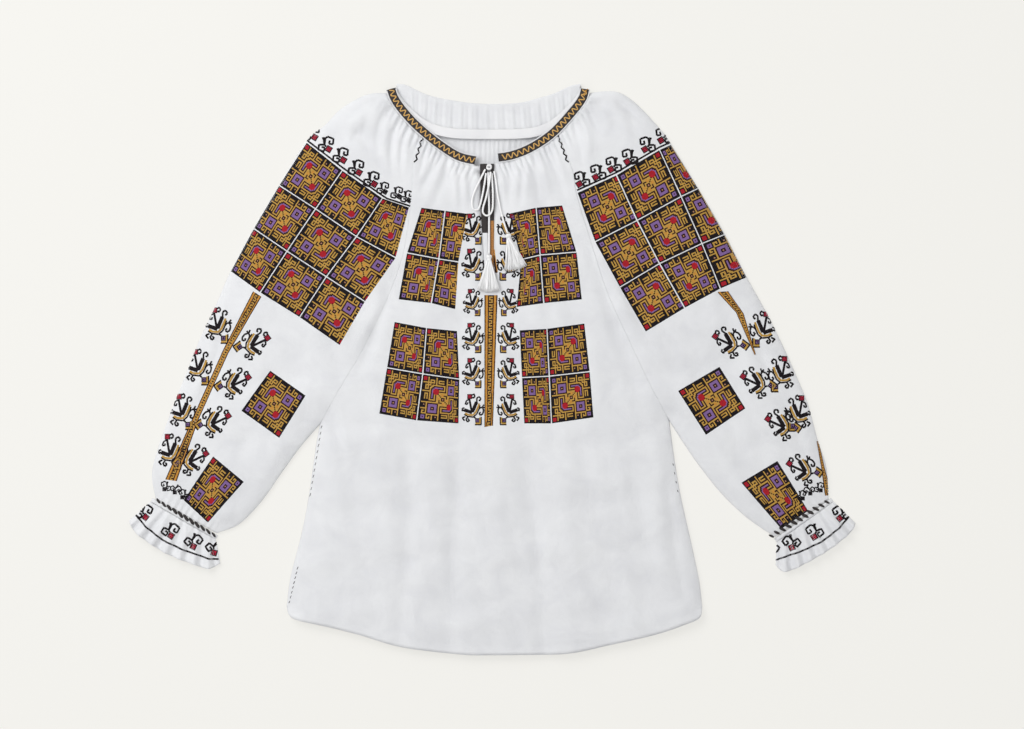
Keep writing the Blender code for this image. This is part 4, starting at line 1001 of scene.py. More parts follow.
def makeSleeve(side):
    sign = 1 if side == "left" else -1
    ragRows = np.linspace(0, 1, sleeveLook["raglanRows"]) ** 1.1
    share = np.linspace(0, 1, sleeveLook["underRows"] + 1)[1:]
    innerEdge = np.vstack([raglan[side].at(ragRows), under[side].at(share)])
    notch = sleeveNotch[side]
    outerShare = np.concatenate([ragRows ** 0.92 * notch, notch + (1 - notch) * share])
    outerEdge = outer[side].at(outerShare)
    neck = neckEdge[side]
    cols = np.concatenate([[0, .004, .01, .02, .035, .055], np.linspace(.08, .92, sleeveLook["topCols"]),
                           [.945, .965, .98, .99, .996, 1]])
    reach = neckShare(side) - sleeveLook["tip"] - tipGap / neck.length
    top = neck.at(sleeveLook["tip"] + reach * (1 - cols))
    innerEdge[0] = top[0]
    top[-1] = outerEdge[0]
    rows = np.linspace(0, 1, len(innerEdge))
    straight = innerEdge[:, None] + (outerEdge - innerEdge)[:, None] * cols[None, :, None]
    bend = (top - straight[0])[None] * np.clip(1 - rows / sleeveLook["neckBend"], 0, 1)[:, None, None] ** 2
    upperPoints, upperNormals = cover(straight + bend)
    seamEdge = backSeam(side, np.maximum(ragRows, floorSeamStart)) - np.array([sign * seamGap / 2, 0])
    floorEdge = np.vstack([seamEdge, innerEdge[len(ragRows):]])
    backCols = np.concatenate([[.996, .99, .98, .965, .94], np.linspace(.9, .1, sleeveLook["floorCols"]),
                               [.055, .03, .012, .004, 0]])
    backCols = np.tile(backCols, (len(rows), 1))
    narrow = np.linspace(.875, 0, backCols.shape[1])
    for k in range(sleeveLook["narrowRows"]):
        backCols[k] = narrow + (backCols[k] - narrow) * k / sleeveLook["narrowRows"]
    floorPlan = floorEdge[:, None] + (outerEdge - floorEdge)[:, None] * backCols[..., None]
    floorPoints, floorNormals = beneath(floorPlan)
    points = np.concatenate([upperPoints, floorPoints], axis=1)
    normals = np.concatenate([upperNormals, floorNormals], axis=1)
    return clothShell("sleeveLinen_" + side, points, normals, clothWall, linen)


sleeveCloth = {side: makeSleeve(side) for side in ("left", "right")}
print("sleeves made")


# Cuffs: the stitched wrist and the frill
cuffLook = {"frillTop": 150, "frillUnder": 40, "frillRows": 22, "wristTop": 110, "wristUnder": 30,
            "wristWall": 1.4, "gathers": 10.8, "gatherDepth": 0.9, "smallWaves": 11, "smallHeight": 0.5}


def makeCuff(side):
    wrist = Curve(wristLine[side], steps=8)
    out = wrist.side(0.5) * (1 if side == "left" else -1)
    if out[1] > 0:
        out = -out
    even = np.linspace(0, 1, 9)
    near = Curve(wrist.at(even) + out * seamGap, steps=1)
    far = Curve(wrist.at(even) + out * wristDepth, steps=1)

    def ridge(v):
        return wristCrown + wristProud * math.sin(math.pi * v)
    rows = np.linspace(0, 1, 9)
    ring = cuffRing(near, far, rows, ridge, lambda v: 0.0, (cuffLook["wristTop"], cuffLook["wristUnder"]))
    over = cuffColumns(cuffLook["wristTop"])
    pull = np.abs(np.sin(math.pi * cuffLook["gathers"] * over + 0.4))
    fade = smooth(np.minimum(over, 1 - over) * 12)[None]
    ring[:, :len(over), 2] -= cuffLook["gatherDepth"] * (1 - pull)[None] * fade
    band = clothShell("wristLinen_" + side, ring, ringNormals(ring), cuffLook["wristWall"], linen, wrap=True)
    start = Curve(wrist.at(even) + out * (wristDepth + seamGap), steps=1)
    rows = np.linspace(0, 1, cuffLook["frillRows"])
    frill = cuffRing(start, Curve(frillEdge[side]), rows,
                     lambda v: wristCrown + (frillCrown - wristCrown) * v,
                     lambda v: frillRipple[0] + (frillRipple[1] - frillRipple[0]) * v,
                     (cuffLook["frillTop"], cuffLook["frillUnder"]))
    over = cuffColumns(cuffLook["frillTop"])
    small = np.sin(2 * math.pi * cuffLook["smallWaves"] * over + 0.9)[None] * cuffLook["smallHeight"]
    small = small * smooth(1 - rows / 0.7)[:, None]
    frill[:, :len(over), 2] += small * smooth(np.minimum(over, 1 - over) * 12)[None]
    skirt = clothShell("frillLinen_" + side, frill, ringNormals(frill), clothWall, linen, wrap=True)
    return band, skirt


cuffs = {side: makeCuff(side) for side in ("left", "right")}
print("cuffs made")


# Neckband: black stitching outside, plain linen inside, white cords on its edges
bandLook = {"crown": 0.3, "edgeCord": 0.75}


def bandStations():
    rows = bandRows()
    place = np.array([row[:3] for row in rows])
    sewn = np.array([(row[3], row[4], 0) for row in rows])
    out = np.array([row[5] for row in rows], float)
    run = runAlong(place)
    fine = np.linspace(0, run[-1], int(run[-1] / 1.5))

    def read(values):
        return np.stack([np.interp(fine, run, values[:, k]) for k in range(3)], axis=-1)
    return read(place), unit(read(sewn)), unit(read(out)), fine


def makeBand():
    place, sewn, out, _ = bandStations()
    spots = np.array([-1, -.9, -.45, 0, .45, .9, 1])
    # the edges are worn a little lower
    worn = 0.15 * (np.abs(spots) > 0.95)
    rise = bandWall / 2 + bandLook["crown"] * (1 - spots ** 2) - worn
    across = sewn[:, None] * spots[None, :, None] * bandWidth / 2
    outside = place[:, None] + across + out[:, None] * rise[None, :, None]
    inside = place[:, None] + across[:, ::-1] - out[:, None] * (bandWall / 2 - worn)[None, :, None]
    ring = np.concatenate([outside, inside], axis=1)
    count, size = ring.shape[:2]
    faces = ringFaces(count, size)
    slots = [int(c >= len(spots) - 1) for c in range(size)] * (count - 1) + [1, 1]
    obj = addObject("neckbandStitched", ring.reshape(-1, 3) * mm, faces, [blackStitch, bandLinen], slots)
    corner = ring[0, 3], ring[0, 4], ring[1, 3]
    if np.dot(np.cross(corner[1] - corner[0], corner[2] - corner[0]), out[0]) < 0:
        obj.data.flip_normals()
    return obj


bandPiece = makeBand()


def makeBandCords():
    place, sewn, out, _ = bandStations()
    parts = []
    front = out[:, 2] > 0.3
    for edge in (-1, 1):
        line = place + sewn * edge * (bandWidth / 2 - 0.3) + out * (bandWall / 2 - 0.1)
        changes = np.flatnonzero(np.diff(front.astype(int)))
        for group in np.split(np.arange(len(line)), changes + 1):
            if front[group[0]] and len(group) > 3:
                parts.append(tube(line[group], bandLook["edgeCord"], sides=8))
    return addTubes("neckbandEdging", parts, whiteCord)


bandCords = makeBandCords()


# Bindings of the front slit, black above and pale or ochre below
bindingChange = {"left": 176, "right": 192}


def makeBinding(side):
    column = 1 if side == "left" else 2
    inward = 1 if side == "left" else -1
    edge, gap = np.array(slitTable)[::-1], np.array(slitGap)[::-1]
    y = np.linspace(slitTop, slitEnd + seamGap, 90)
    outside = np.interp(y, edge[:, 0], edge[:, column]) + inward * seamGap
    inside = np.interp(y, gap[:, 0], gap[:, column])
    across = np.linspace(0, 1, 7)
    x = outside[:, None] * (1 - across) + inside[:, None] * across
    plan = np.stack([x, np.repeat(y[:, None], len(across), axis=1)], axis=-1)
    height = baseHeight(plan.reshape(-1, 2)).reshape(plan.shape[:-1])
    height = height + bindingProud + 0.2 * (1 - (2 * across - 1) ** 2)
    points = np.concatenate([plan, height[..., None]], axis=-1)
    normals = gridNormals(points)
    normals *= np.sign(normals[..., 2:3])
    obj = clothShell("slitBinding_" + side, points, normals, bindingWall, blackStitch)
    obj.data.materials.append(linen if side == "left" else ochreStitch)
    change = bindingChange[side] * mm
    for face in obj.data.polygons:
        face.material_index = int(face.center.y < change)
    return obj


bindings = {side: makeBinding(side) for side in ("left", "right")}
print("neckband and slit made")


# Embroidery: a chart of one block, 37 stitches each way from its red corner
chartSize = 37
chartRects = [
    ("black", 0, 0, 36, 5), ("black", 0, 6, 20, 6),
    # lattice beside the red corner
    ("red", 1, 1, 3, 3), ("crimson", 2, 2, 2, 2), ("gold", 5, 1, 5, 8), ("gold", 7, 3, 7, 8),
    # squared hooks along the edge
    ("gold", 5, 5, 10, 5), ("gold", 7, 3, 10, 3), ("gold", 10, 3, 10, 5), ("gold", 12, 1, 12, 7),
    ("gold", 14, 3, 18, 3), ("gold", 14, 3, 14, 5), ("gold", 14, 5, 18, 5), ("gold", 21, 1, 21, 6),
    ("gold", 21, 5, 31, 5), ("pink", 23, 3, 23, 3), ("gold", 26, 1, 26, 5), ("gold", 28, 2, 30, 2),
    ("gold", 30, 2, 30, 5), ("gold", 28, 2, 28, 3),
    # small violet corner and big violet lozenge
    ("black", 31, 1, 35, 5), ("violet", 32, 2, 34, 4), ("brown", 33, 3, 33, 3),
    ("brown", 22, 6, 30, 14), ("violet", 23, 7, 29, 13), ("brown", 25, 9, 27, 11), ("pink", 26, 10, 26, 10),
    # bent arm round the red flower
    ("brown", 9, 6, 20, 12), ("gold", 9, 7, 19, 11), ("brown", 9, 8, 18, 10), ("violet", 11, 9, 17, 9),
    ("red", 10, 10, 14, 14), ("crimson", 12, 12, 12, 12), ("gold", 12, 6, 12, 6),
    # middle ring, stem and hooks
    ("brown", 15, 15, 16, 16), ("brown", 17, 17, 19, 19), ("pink", 18, 18, 18, 18),
    ("brown", 19, 15, 21, 15), ("brown", 21, 15, 21, 17), ("gold", 15, 16, 15, 16), ("ochre", 14, 17, 15, 18)]
# slanted corner of the arm, by the sum of both counts
cornerBands = {15: "brown", 16: "gold", 17: "gold", 18: "brown", 19: "brown", 20: "violet"}


def makeChart():
    chart = np.full((chartSize, chartSize), "gold", dtype=object)
    top = chartSize - 1

    def put(u, v, thread):
        for a, b in ((u, v), (v, u), (top - v, top - u), (top - u, top - v)):
            chart[a, b] = thread
    for thread, u0, v0, u1, v1 in chartRects:
        for u in range(u0, u1 + 1):
            for v in range(v0, v1 + 1):
                put(u, v, thread)
    for u in range(7, 11):
        for v in range(7, 11):
            if u + v in cornerBands:
                put(u, v, cornerBands[u + v])
    put(14, 14, "brown")
    put(14, 10, "brown")
    chart[[0, top], :] = "black"
    chart[:, [0, top]] = "black"
    return chart


blockChart = makeChart()
whole = [(0, 0), (1, 1)]
# Each grid: garment piece, side of the chart's red corner, corners of its blocks, and the share of
# the chart that shows against its place across
blockGrids = [
    ("front", "left", [[(-92, 210), (-61, 206), (-31, 202)], [(-111, 151), (-69, 143), (-43, 139)],
                       [(-122, 90), (-79, 85), (-47, 77)]],
     [[(0, 0), (0.5, 0.68), (0.95, 1)], [(0, 0), (0.6, 1)]]),
    ("front", "right", [[(21, 202), (57, 210), (91, 213)], [(37, 142), (62, 148), (110, 152)],
                        [(31, 80), (67, 85), (117, 90)]],
     [[(0, 0), (0.22, 0.25), (0.45, 0.30), (1, 1)], [(0, 0), (0.55, 0.62), (1, 1)]]),
    ("front", "left", [[(-127, 62), (-85, 54), (-45, 50)], [(-137, 2), (-90, -6), (-42, -13)],
                       [(-147, -58), (-98, -67), (-43, -71)]],
     [[(0, 0), (0.55, 0.62), (1, 1)], [(0, 0), (0.6, 0.7), (1, 1)]]),
    ("front", "right", [[(35, 51), (71, 53), (120, 60)], [(38, -11), (74, -9), (127, -3)],
                        [(41, -71), (77, -71), (132, -63)]],
     [[(0, 0), (0.55, 0.68), (1, 1)], whole]),
    ("left", "left", [[(-241, 295), (-194, 258), (-142, 222), (-107, 210)],
                      [(-277, 239), (-229, 208), (-176, 172), (-124, 144)],
                      [(-310, 183), (-266, 153), (-215, 120), (-164, 87)],
                      [(-340, 127), (-301, 99), (-250, 67), (-197, 30)]],
     [whole, whole, [(0, 0), (0.93, 1)]]),
    ("right", "right", [[(110, 229), (161, 252), (217, 285), (232, 292)],
                        [(133, 165), (188, 193), (245, 224), (268, 235)],
                        [(165, 106), (217, 137), (272, 163), (302, 175)],
                        [(199, 48), (250, 79), (296, 104), (331, 119)]],
     [[(0, 0), (0.95, 1)], whole, [(0, 0), (0.42, 1)]]),
    ("left", "left", [[(-288, -1), (-241, -34)], [(-326, -54), (-276, -90)]], [whole]),
    ("left", "left", [[(-362, -112), (-321, -146)], [(-401, -170), (-369, -200)]], [whole]),
    ("right", "left", [[(240, -28), (295, 4)], [(277, -86), (329, -51)]], [whole]),
    ("right", "left", [[(322, -147), (370, -118)], [(375, -208), (411, -184)]], [whole])]
# Linen left bare round each block, and how far a stitch covers its neighbours
blockLook = {"gap": 0.75, "overlap": 1.12}
# Stitches laid out so far: plan x, y, direction, length, width, thread, by garment piece
laid = {"front": [], "left": [], "right": []}


def layBlocks():
    steps = np.arange(chartSize)
    for piece, redSide, nodes, across in blockGrids:
        corners = np.array(nodes, float)
        rows, cols = corners.shape[0] - 1, corners.shape[1] - 1
        for r in range(rows):
            for c in range(cols):
                quad = corners[r, c], corners[r, c + 1], corners[r + 1, c + 1], corners[r + 1, c]
                shows = np.array(across[c], float)
                last = shows[-1, 0]
                width = (np.linalg.norm(quad[1] - quad[0]) + np.linalg.norm(quad[2] - quad[3])) / 2
                height = (np.linalg.norm(quad[3] - quad[0]) + np.linalg.norm(quad[2] - quad[1])) / 2
                shrinkU, shrinkV = blockLook["gap"] / width, blockLook["gap"] / height
                for u in steps:
                    a0, a1 = u / chartSize, (u + 1) / chartSize
                    if (a0 + a1) / 2 > last:
                        continue
                    p0, p1 = np.interp([a0, min(a1, last)], shows[:, 0], shows[:, 1])
                    p0, p1 = shrinkU + p0 * (1 - 2 * shrinkU), shrinkU + p1 * (1 - 2 * shrinkU)
                    pu = (p0 + p1) / 2
                    for v in steps:
                        pv = shrinkV + (v + 0.5) / chartSize * (1 - 2 * shrinkV)
                        above = (1 - pu) * quad[0] + pu * quad[1]
                        below = (1 - pu) * quad[3] + pu * quad[2]
                        x, y = (1 - pv) * above + pv * below
                        run = (1 - pv) * (quad[1] - quad[0]) + pv * (quad[2] - quad[3])
                        down = (1 - pu) * (quad[3] - quad[0]) + pu * (quad[2] - quad[1])
                        thread = blockChart[u if redSide == "left" else chartSize - 1 - u, v]
                        wide = np.linalg.norm(run) * (p1 - p0) * blockLook["overlap"]
                        deep = np.linalg.norm(down) * (1 - 2 * shrinkV) / chartSize * blockLook["overlap"]
                        laid[piece].append((x, y, math.atan2(run[1], run[0]), wide, deep, thread))


layBlocks()


def layStroke(group, path, width, thread, step=1.3):
    # tiles in a row along a stroke
    path = np.asarray(path, float)
    lengths = runAlong(path)
    count = max(1, round(lengths[-1] / step))
    for k in range(count):
        s = (k + 0.5) * lengths[-1] / count
        x, y = np.interp(s, lengths, path[:, 0]), np.interp(s, lengths, path[:, 1])
        n = min(np.searchsorted(lengths, s, side="right") - 1, len(path) - 2)
        run = path[n + 1] - path[n]
        laid[group].append((x, y, math.atan2(run[1], run[0]), lengths[-1] / count * 1.15, width, thread))


def turned(a, b, angle):
    return a * math.cos(angle) - b * math.sin(angle), a * math.sin(angle) + b * math.cos(angle)


def laySquare(group, x, y, size, turn, thread, cells=3):
    cell = size / cells
    for i in range(cells):
        for j in range(cells):
            a, b = (i - (cells - 1) / 2) * cell, (j - (cells - 1) / 2) * cell
            px, py = turned(a, b, turn)
            laid[group].append((x + px, y + py, turn, cell * 1.06, cell * 1.06, thread))


# Bird motif beside the strips, in picture steps of 1.3 mm from the foot of its wings, x towards the strip
birdStrokes = [
    ("black", 4.4, [(0.6, 0.9), (5.4, 12.4)]),
    ("black", 1.5, [(5.7, 12), (5.7, 16.8), (8, 18.7), (10.3, 16.8), (9.6, 14.2), (7.9, 14.6)]),
    ("black", 4.5, [(0.2, 0.2), (-9, 3.2)]), ("black", 1.4, [(-9, 3.2), (-11.3, 2), (-11.2, 5), (-8.8, 5.6)]),
    ("black", 1.9, [(0, 0), (-3, 16)]),
    ("black", 1.4, [(-0.8, 19.9), (2.3, 21.8), (3.5, 19.1), (1.6, 16.8), (0.6, 18.4)]),
    ("black", 1.4, [(-3, 15.7), (-6.5, 13.8), (-7.7, 10), (-5.4, 9.8), (-4.8, 12)]),
    ("black", 1.3, [(9.4, 8.6), (8.4, 4.6), (5.7, -1.5), (1.5, -5.2), (-5, -4.4), (-9, -1.9)]),
    ("gold", 1.7, [(8.6, 10.6), (7.2, 6.7), (4.4, 0.6), (1.2, -2.9), (-4.2, -2.5), (-8, -0.6)]),
    ("black", 1.5, [(8.2, 4), (9.9, 5.9), (12.6, 6.1), (13.6, 2.3), (12.6, -1.5), (9.9, -3), (8.4, -1),
                    (10.1, 0.8)]),
    ("black", 1.4, [(14.1, 9.4), (12.2, 6.6)]), ("black", 1.4, [(15.2, 6.2), (12.4, 6)]),
    ("black", 1.5, [(-4.6, -4.4), (-6.9, -8), (-5.2, -10.8), (-2.9, -9), (-4.6, -7)]),
    ("black", 1.5, [(-7.6, -4.6), (-11.3, -6.1), (-8.6, -9.4)]), ("black", 1.4, [(2, -5), (4.2, -6.4)]),
    ("black", 1.3, [(10.8, -5), (10.8, -14), (3.6, -14)]),
    ("gold", 1.6, [(9.4, -5.6), (9.4, -12.6), (4, -12.6)])]
# Where each bird's feet are, and 1 or -1 for the side on which its strip lies
birdPlaces = {
    "left": [(-357, 52, 1), (-382, -2, 1), (-403, -60, 1), (-418, -112, 1), (-313, 29, -1), (-338, -22, -1),
             (-364, -72, -1), (-393, -121, -1)],
    "right": [(311, 31, 1), (352, 47, -1), (347, -21, 1), (376, -11, -1), (379, -76, 1), (398, -62, -1),
              (407, -134, 1)]}
birdLook = {"scale": 1.3, "frontScale": 1.38, "frontHeight": 39.8, "thin": 1.3, "thick": 0.95, "foot": 0.548}
birdLean = {("left", 1): 0.0, ("left", -1): math.radians(-54),
            ("right", -1): 0.0, ("right", 1): math.radians(54)}
# Top and bottom of the front's birds and their feet's columns, in picture pixels
frontBirds = {"rows": [(215, 247), (250, 283), (290, 318), (324, 355), (359, 390), (395, 427)],
              "left": 472.0, "right": 509.5}


def fromPicture(px, py):
    return (px - pictureMiddle[0]) * pixelSize, (pictureMiddle[1] - py) * pixelSize


def placer(x, y, flip, scale, lean):
    # from a motif's own steps to the blouse
    def place(px, py):
        a, b = turned(px * flip * scale, py * scale, lean)
        return x + a, y + b
    return place


def layBird(group, x, y, toward, lean, scale):
    place = placer(x, y, toward, scale, lean)
    for thread, width, stroke in birdStrokes:
        bold = birdLook["thin"] if width < 3 else birdLook["thick"]
        layStroke(group, [place(*spot) for spot in stroke], width * scale * bold, thread, 1.2)
    cx, cy = place(-2.6, 18.8)
    laySquare(group, cx, cy, 5.8 * scale, lean, "black", 5)
    laySquare(group, cx, cy, 4.2 * scale, lean, "rose", 3)
    cx, cy = place(6.4, -9.0)
    laySquare(group, cx, cy, 5.2 * scale, lean, "black", 4)
    laySquare(group, cx, cy, 3.0 * scale, lean, "violet", 2)


for side, places in birdPlaces.items():
    for x, y, toward in places:
        layBird(side, x, y, toward, birdLean[side, toward], birdLook["scale"])
for top, bottom in frontBirds["rows"]:
    for side, toward in (("left", 1), ("right", -1)):
        x, y = fromPicture(frontBirds[side], top + (bottom - top) * birdLook["foot"])
        layBird("front", x, y, toward, 0.0, birdLook["frontScale"] * (bottom - top) / birdLook["frontHeight"])


# Narrow strips with a squared meander
stripPlaces = {
    "front": [[(-10, 96), (7, 96)], [(-10, -75), (1, -73)]],
    "left": [[(-310, 101), (-299, 94)], [(-349, 25), (-342, 21)], [(-388, -62), (-381, -66)],
             [(-424, -143), (-409, -145)]],
    "right": [[(292, 100), (306, 101)], [(316, 74), (326, 72)], [(340, 19), (342, 19)]],
    "rightEnd": [[(421, -93), (424, -94)], [(427, -128), (432, -130)], [(432, -164), (442, -164)]]}
meander = ["boobbbbboob", "boobgggboob", "boobgbbboob", "boobgggboob", "boobbbgboob", "boobgggboob"]
threadLetters = {"b": "brown", "o": "ochre", "g": "gold"}
stripRow = 1.7        # length of one row of stitches
stripCell = 1.2       # width of one stitch


def layStrip(name, group):
    edges = np.array(stripPlaces[name], float)
    middle = edges.mean(axis=1)
    run = runAlong(middle)
    rows = int(run[-1] / stripRow)
    for k in range(rows):
        s = (k + 0.5) * run[-1] / rows
        left = np.array([np.interp(s, run, edges[:, 0, n]) for n in (0, 1)])
        right = np.array([np.interp(s, run, edges[:, 1, n]) for n in (0, 1)])
        wide = np.linalg.norm(right - left)
        turn = math.atan2(*(right - left)[::-1])
        line = meander[k % len(meander)]
        if (k // len(meander)) % 2:
            line = line[::-1]
        cells = min(len(line), max(5, round(wide / stripCell)))
        middleCut = (len(line) - cells) // 2
        for c in range(cells):
            spot = left + (right - left) * (c + 0.5) / cells
            if c < 2:
                letter = line[c]
            elif c >= cells - 2:
                letter = line[len(line) - cells + c]
            else:
                letter = line[c + middleCut]
            row = (*spot, turn, wide / cells * 1.06, run[-1] / rows * 1.08, threadLetters[letter])
            laid[group].append(row)


layStrip("front", "front")
layStrip("left", "left")
layStrip("right", "right")
layStrip("rightEnd", "right")


# Crest motifs above the sleeve grids and on the frills
crestLook = {"stroke": 2.5, "square": 7.6, "flower": 5.0, "lean": 0.45, "turn": 0.55, "scale": 1.1,
             "hiddenScale": 0.85, "curlScale": 0.7}
crestStrokes = [[(2.3, 6.9), (-1.7, 13.2), (-5.2, 13.8), (-10.3, 8.6), (-6.9, 2.9), (-2.9, 5.7), (-5.7, 8.6)],
                [(2.3, 6.9), (8, 9.8), (11.5, 4.6), (6.3, 0), (3.4, 3.4), (6.5, 6)],
                [(1.5, 4), (2.3, 6.9), (1.2, 10.5), (0, 13.8)], [(-1.4, 14.2), (1.6, 14.8)]]
crests = {
    "left": [(-230.5, 301), (-212, 285.5), (-193, 271), (-172.8, 255), (-153, 240), (-139, 230), (-121, 224),
             (-108, 219)],
    "right": [(113, 240), (134, 249), (154, 259), (175, 269), (198, 285), (219, 297)]}
# Crests lost in the gathers, which show no flower
crestHidden = {("left", 5), ("left", 6), ("left", 7)}
crestLine = {"left": [(-241.5, 298), (-193.5, 261), (-144.5, 226.6), (-136, 221.2), (-106.2, 211.4)],
             "right": [(110, 232), (161, 255), (217, 288), (231, 294.3)]}


def layCrest(group, x, y, lean, flip, turn, scale, flower=True):
    place = placer(x, y, flip, scale, lean)
    for stroke in crestStrokes:
        layStroke(group, [place(*spot) for spot in stroke], crestLook["stroke"] * scale, "black", 1.1)
    laySquare(group, x, y, crestLook["square"] * scale, turn, "black", 5)
    if flower:
        laySquare(group, x, y, crestLook["flower"] * scale, turn, "rose", 3)


for side, places in crests.items():
    for k, (x, y) in enumerate(places):
        hidden = (side, k) in crestHidden
        flip = -1 if side == "left" else 1
        layCrest(side, x, y, -crestLook["lean"] * flip, flip, crestLook["turn"] * flip,
                 crestLook["hiddenScale" if hidden else "scale"], not hidden)
    layStroke(side, crestLine[side], 2.4, "black", 1.4)


# Stitched lines along the raglan seams and the side seams
def layZigzag(group, a, b, wide, pitch):
    a, b = np.array(a, float), np.array(b, float)
    length = np.linalg.norm(b - a)
    side = np.array([-(b - a)[1], (b - a)[0]]) / length
    count = int(length / pitch)
    path = [a + (b - a) * k / count + side * wide * (1 if k % 2 else -1) for k in range(count + 1)]
    layStroke(group, path, 2.0, "black", 1.0)


layZigzag("front", (-90, 303), (-100, 268), 1.5, 4.2)
layZigzag("front", (85, 304), (98, 268), 1.5, 4.2)
# Side seams: start, end, number of stitches and length of each
sideStitches = [((-223, -71), (-239, -167), 12, 4.5), ((-254, -255), (-266, -305), 8, 4.0),
                ((236, -118), (244, -164), 4, 3.0)]
for (ax, ay), (bx, by), count, length in sideStitches:
    for k in range(count):
        s = (k + 0.5) / count
        x, y = ax + (bx - ax) * s, ay + (by - ay) * s
        inward = 2.2 if ax < 0 else -2.2
        laid["front"].append((x + inward, y, math.radians(62 if ax < 0 else 118), length, 0.9, "black"))


# Frill motifs and the wrist's twisted threads, in picture pixels at the left wrist
frillSquares = {"left": [(146, 517), (171.7, 535.3), (194, 546), (214.4, 552.5)]}
frillLine = {"left": [(135, 513.5), (147, 527), (163.6, 539.9), (185, 550), (194.6, 553.1), (209.6, 558.6),
                      (219, 558.8)]}
castHeight = 0.08     # rays start this high above the floor, in metres
down = Vector((0, 0, -1))
ropeLook = {"ends": [(156, 499), (217, 536.3)], "count": 11, "length": 10.4, "radius": 2.0,
            "slant": {"left": 0.42, "right": 0.98}}
wristCurls = {"left": [(165, 489, 1), (175.5, 492, -1), (183, 497, 1)]}


def mirrored(side, x, y):
    return (x, y) if side == "left" else (-x + 1.0, y - 1.5)


for side in ("left", "right"):
    flip = 1 if side == "left" else -1
    for k, (px, py) in enumerate(frillSquares["left"]):
        x, y = mirrored(side, *fromPicture(px, py))
        lean, turn = math.radians(10 - 8 * k) * flip, math.radians(8 * k - 40) * flip
        layCrest(side, x, y, lean, -flip, turn, crestLook["scale"])
    for px, py, way in wristCurls["left"]:
        x, y = mirrored(side, *fromPicture(px, py))
        layCrest(side, x, y, math.radians(-25) * flip, flip * way, 0.0, crestLook["curlScale"], False)
    layStroke(side, [mirrored(side, *fromPicture(*spot)) for spot in frillLine["left"]], 2.4, "black", 1.3)
# Strip beside the slit's lower end, in picture pixels, with its width and thread
slitStrip = [([(491.6, 236), (494, 256), (496.4, 273)], 3.4, "brown"),
             ([(492.4, 236), (494.8, 256), (497.2, 272)], 1.6, "ochre")]
for spots, width, thread in slitStrip:
    layStroke("front", [fromPicture(*spot) for spot in spots], width, thread, 1.2)
print("stitches laid out", {name: len(rows) for name, rows in laid.items()})


def clothTrees(pieces):
    return [BVHTree.FromObject(piece, bpy.context.evaluated_depsgraph_get()) for piece in pieces]


def makeRope(side):
    # black gathering threads twisted over the wrist
    trees = clothTrees([sleeveCloth[side], *cuffs[side]])
    a, b = [np.array(mirrored(side, *fromPicture(*spot))) for spot in ropeLook["ends"]]
    heading = math.atan2(*(b - a)[::-1]) - ropeLook["slant"][side]
    step = np.array([math.cos(heading), math.sin(heading)]) * ropeLook["length"] / 2
    parts = []
    for k in range(ropeLook["count"]):
        s = (k + 0.5) / ropeLook["count"]
        size = 0.72 + 0.36 * math.sin(math.pi * s)
        line = []
        for along in np.linspace(-1, 1, 9):
            x, y = a + (b - a) * s + step * along * size
            hits = [tree.ray_cast(Vector((x * mm, y * mm, castHeight)), down)[0] for tree in trees]
            line.append((x, y, max([hit.z / mm for hit in hits if hit is not None], default=wristCrown)))
        line = np.array(line)
        line[:, 2] = np.convolve(np.pad(line[:, 2], 2, mode="edge"), np.ones(5) / 5, mode="valid") + 0.4
        fat = ropeLook["radius"] * size * np.sqrt(1.02 - np.linspace(-1, 1, 9) ** 2)
        parts.append(tube(line, fat, sides=10))
    return addTubes("wristRope_" + side, parts, blackStitch)


ropes = [makeRope(side) for side in ("left", "right")]


# Geometry Nodes: one raised stitch on every point, turned and sized by the point's own values
def makeStitchTree():
    tree = bpy.data.node_groups.new("raisedStitches", "GeometryNodeTree")
    sockets = (("Geometry", "Geometry", None), ("Stitch", "Object", None), ("Unevenness", "Float", 0.12),
               ("Seed", "Int", 5), ("Thread", "Material", None))
    for name, kind, value in sockets:
        socket = tree.interface.new_socket(name, in_out="INPUT", socket_type="NodeSocket" + kind)
        if value is not None:
            socket.default_value = value
    tree.interface.new_socket("Geometry", in_out="OUTPUT", socket_type="NodeSocketGeometry")
    link = tree.links.new
    start, end = tree.nodes.new("NodeGroupInput"), tree.nodes.new("NodeGroupOutput")
    info = tree.nodes.new("GeometryNodeObjectInfo")
    turn = addNode(tree, "GeometryNodeInputNamedAttribute", data_type="FLOAT_VECTOR", Name="turn")
    size = addNode(tree, "GeometryNodeInputNamedAttribute", data_type="FLOAT_VECTOR", Name="size")
    rough = addNode(tree, "FunctionNodeRandomValue", data_type="FLOAT")
    low = addNode(tree, "ShaderNodeMath", operation="SUBTRACT")
    low.inputs[0].default_value = 1.0
    scale = addNode(tree, "ShaderNodeVectorMath", operation="SCALE")
    spin = tree.nodes.new("FunctionNodeEulerToRotation")
    place = tree.nodes.new("GeometryNodeInstanceOnPoints")
    real = tree.nodes.new("GeometryNodeRealizeInstances")
    paint = tree.nodes.new("GeometryNodeSetMaterial")
    link(start.outputs["Stitch"], info.inputs["Object"])
    link(start.outputs["Unevenness"], low.inputs[1])
    link(low.outputs[0], rough.inputs[2])
    link(start.outputs["Seed"], rough.inputs["Seed"])
    link(size.outputs["Attribute"], scale.inputs[0])
    link(rough.outputs[1], scale.inputs["Scale"])
    link(turn.outputs["Attribute"], spin.inputs[0])
    link(start.outputs["Geometry"], place.inputs["Points"])
    link(info.outputs["Geometry"], place.inputs["Instance"])
    link(spin.outputs[0], place.inputs["Rotation"])
    link(scale.outputs[0], place.inputs["Scale"])
    link(place.outputs[0], real.inputs[0])
    link(real.outputs[0], paint.inputs["Geometry"])
    link(start.outputs["Thread"], paint.inputs["Material"])
    link(paint.outputs[0], end.inputs[0])
    return tree


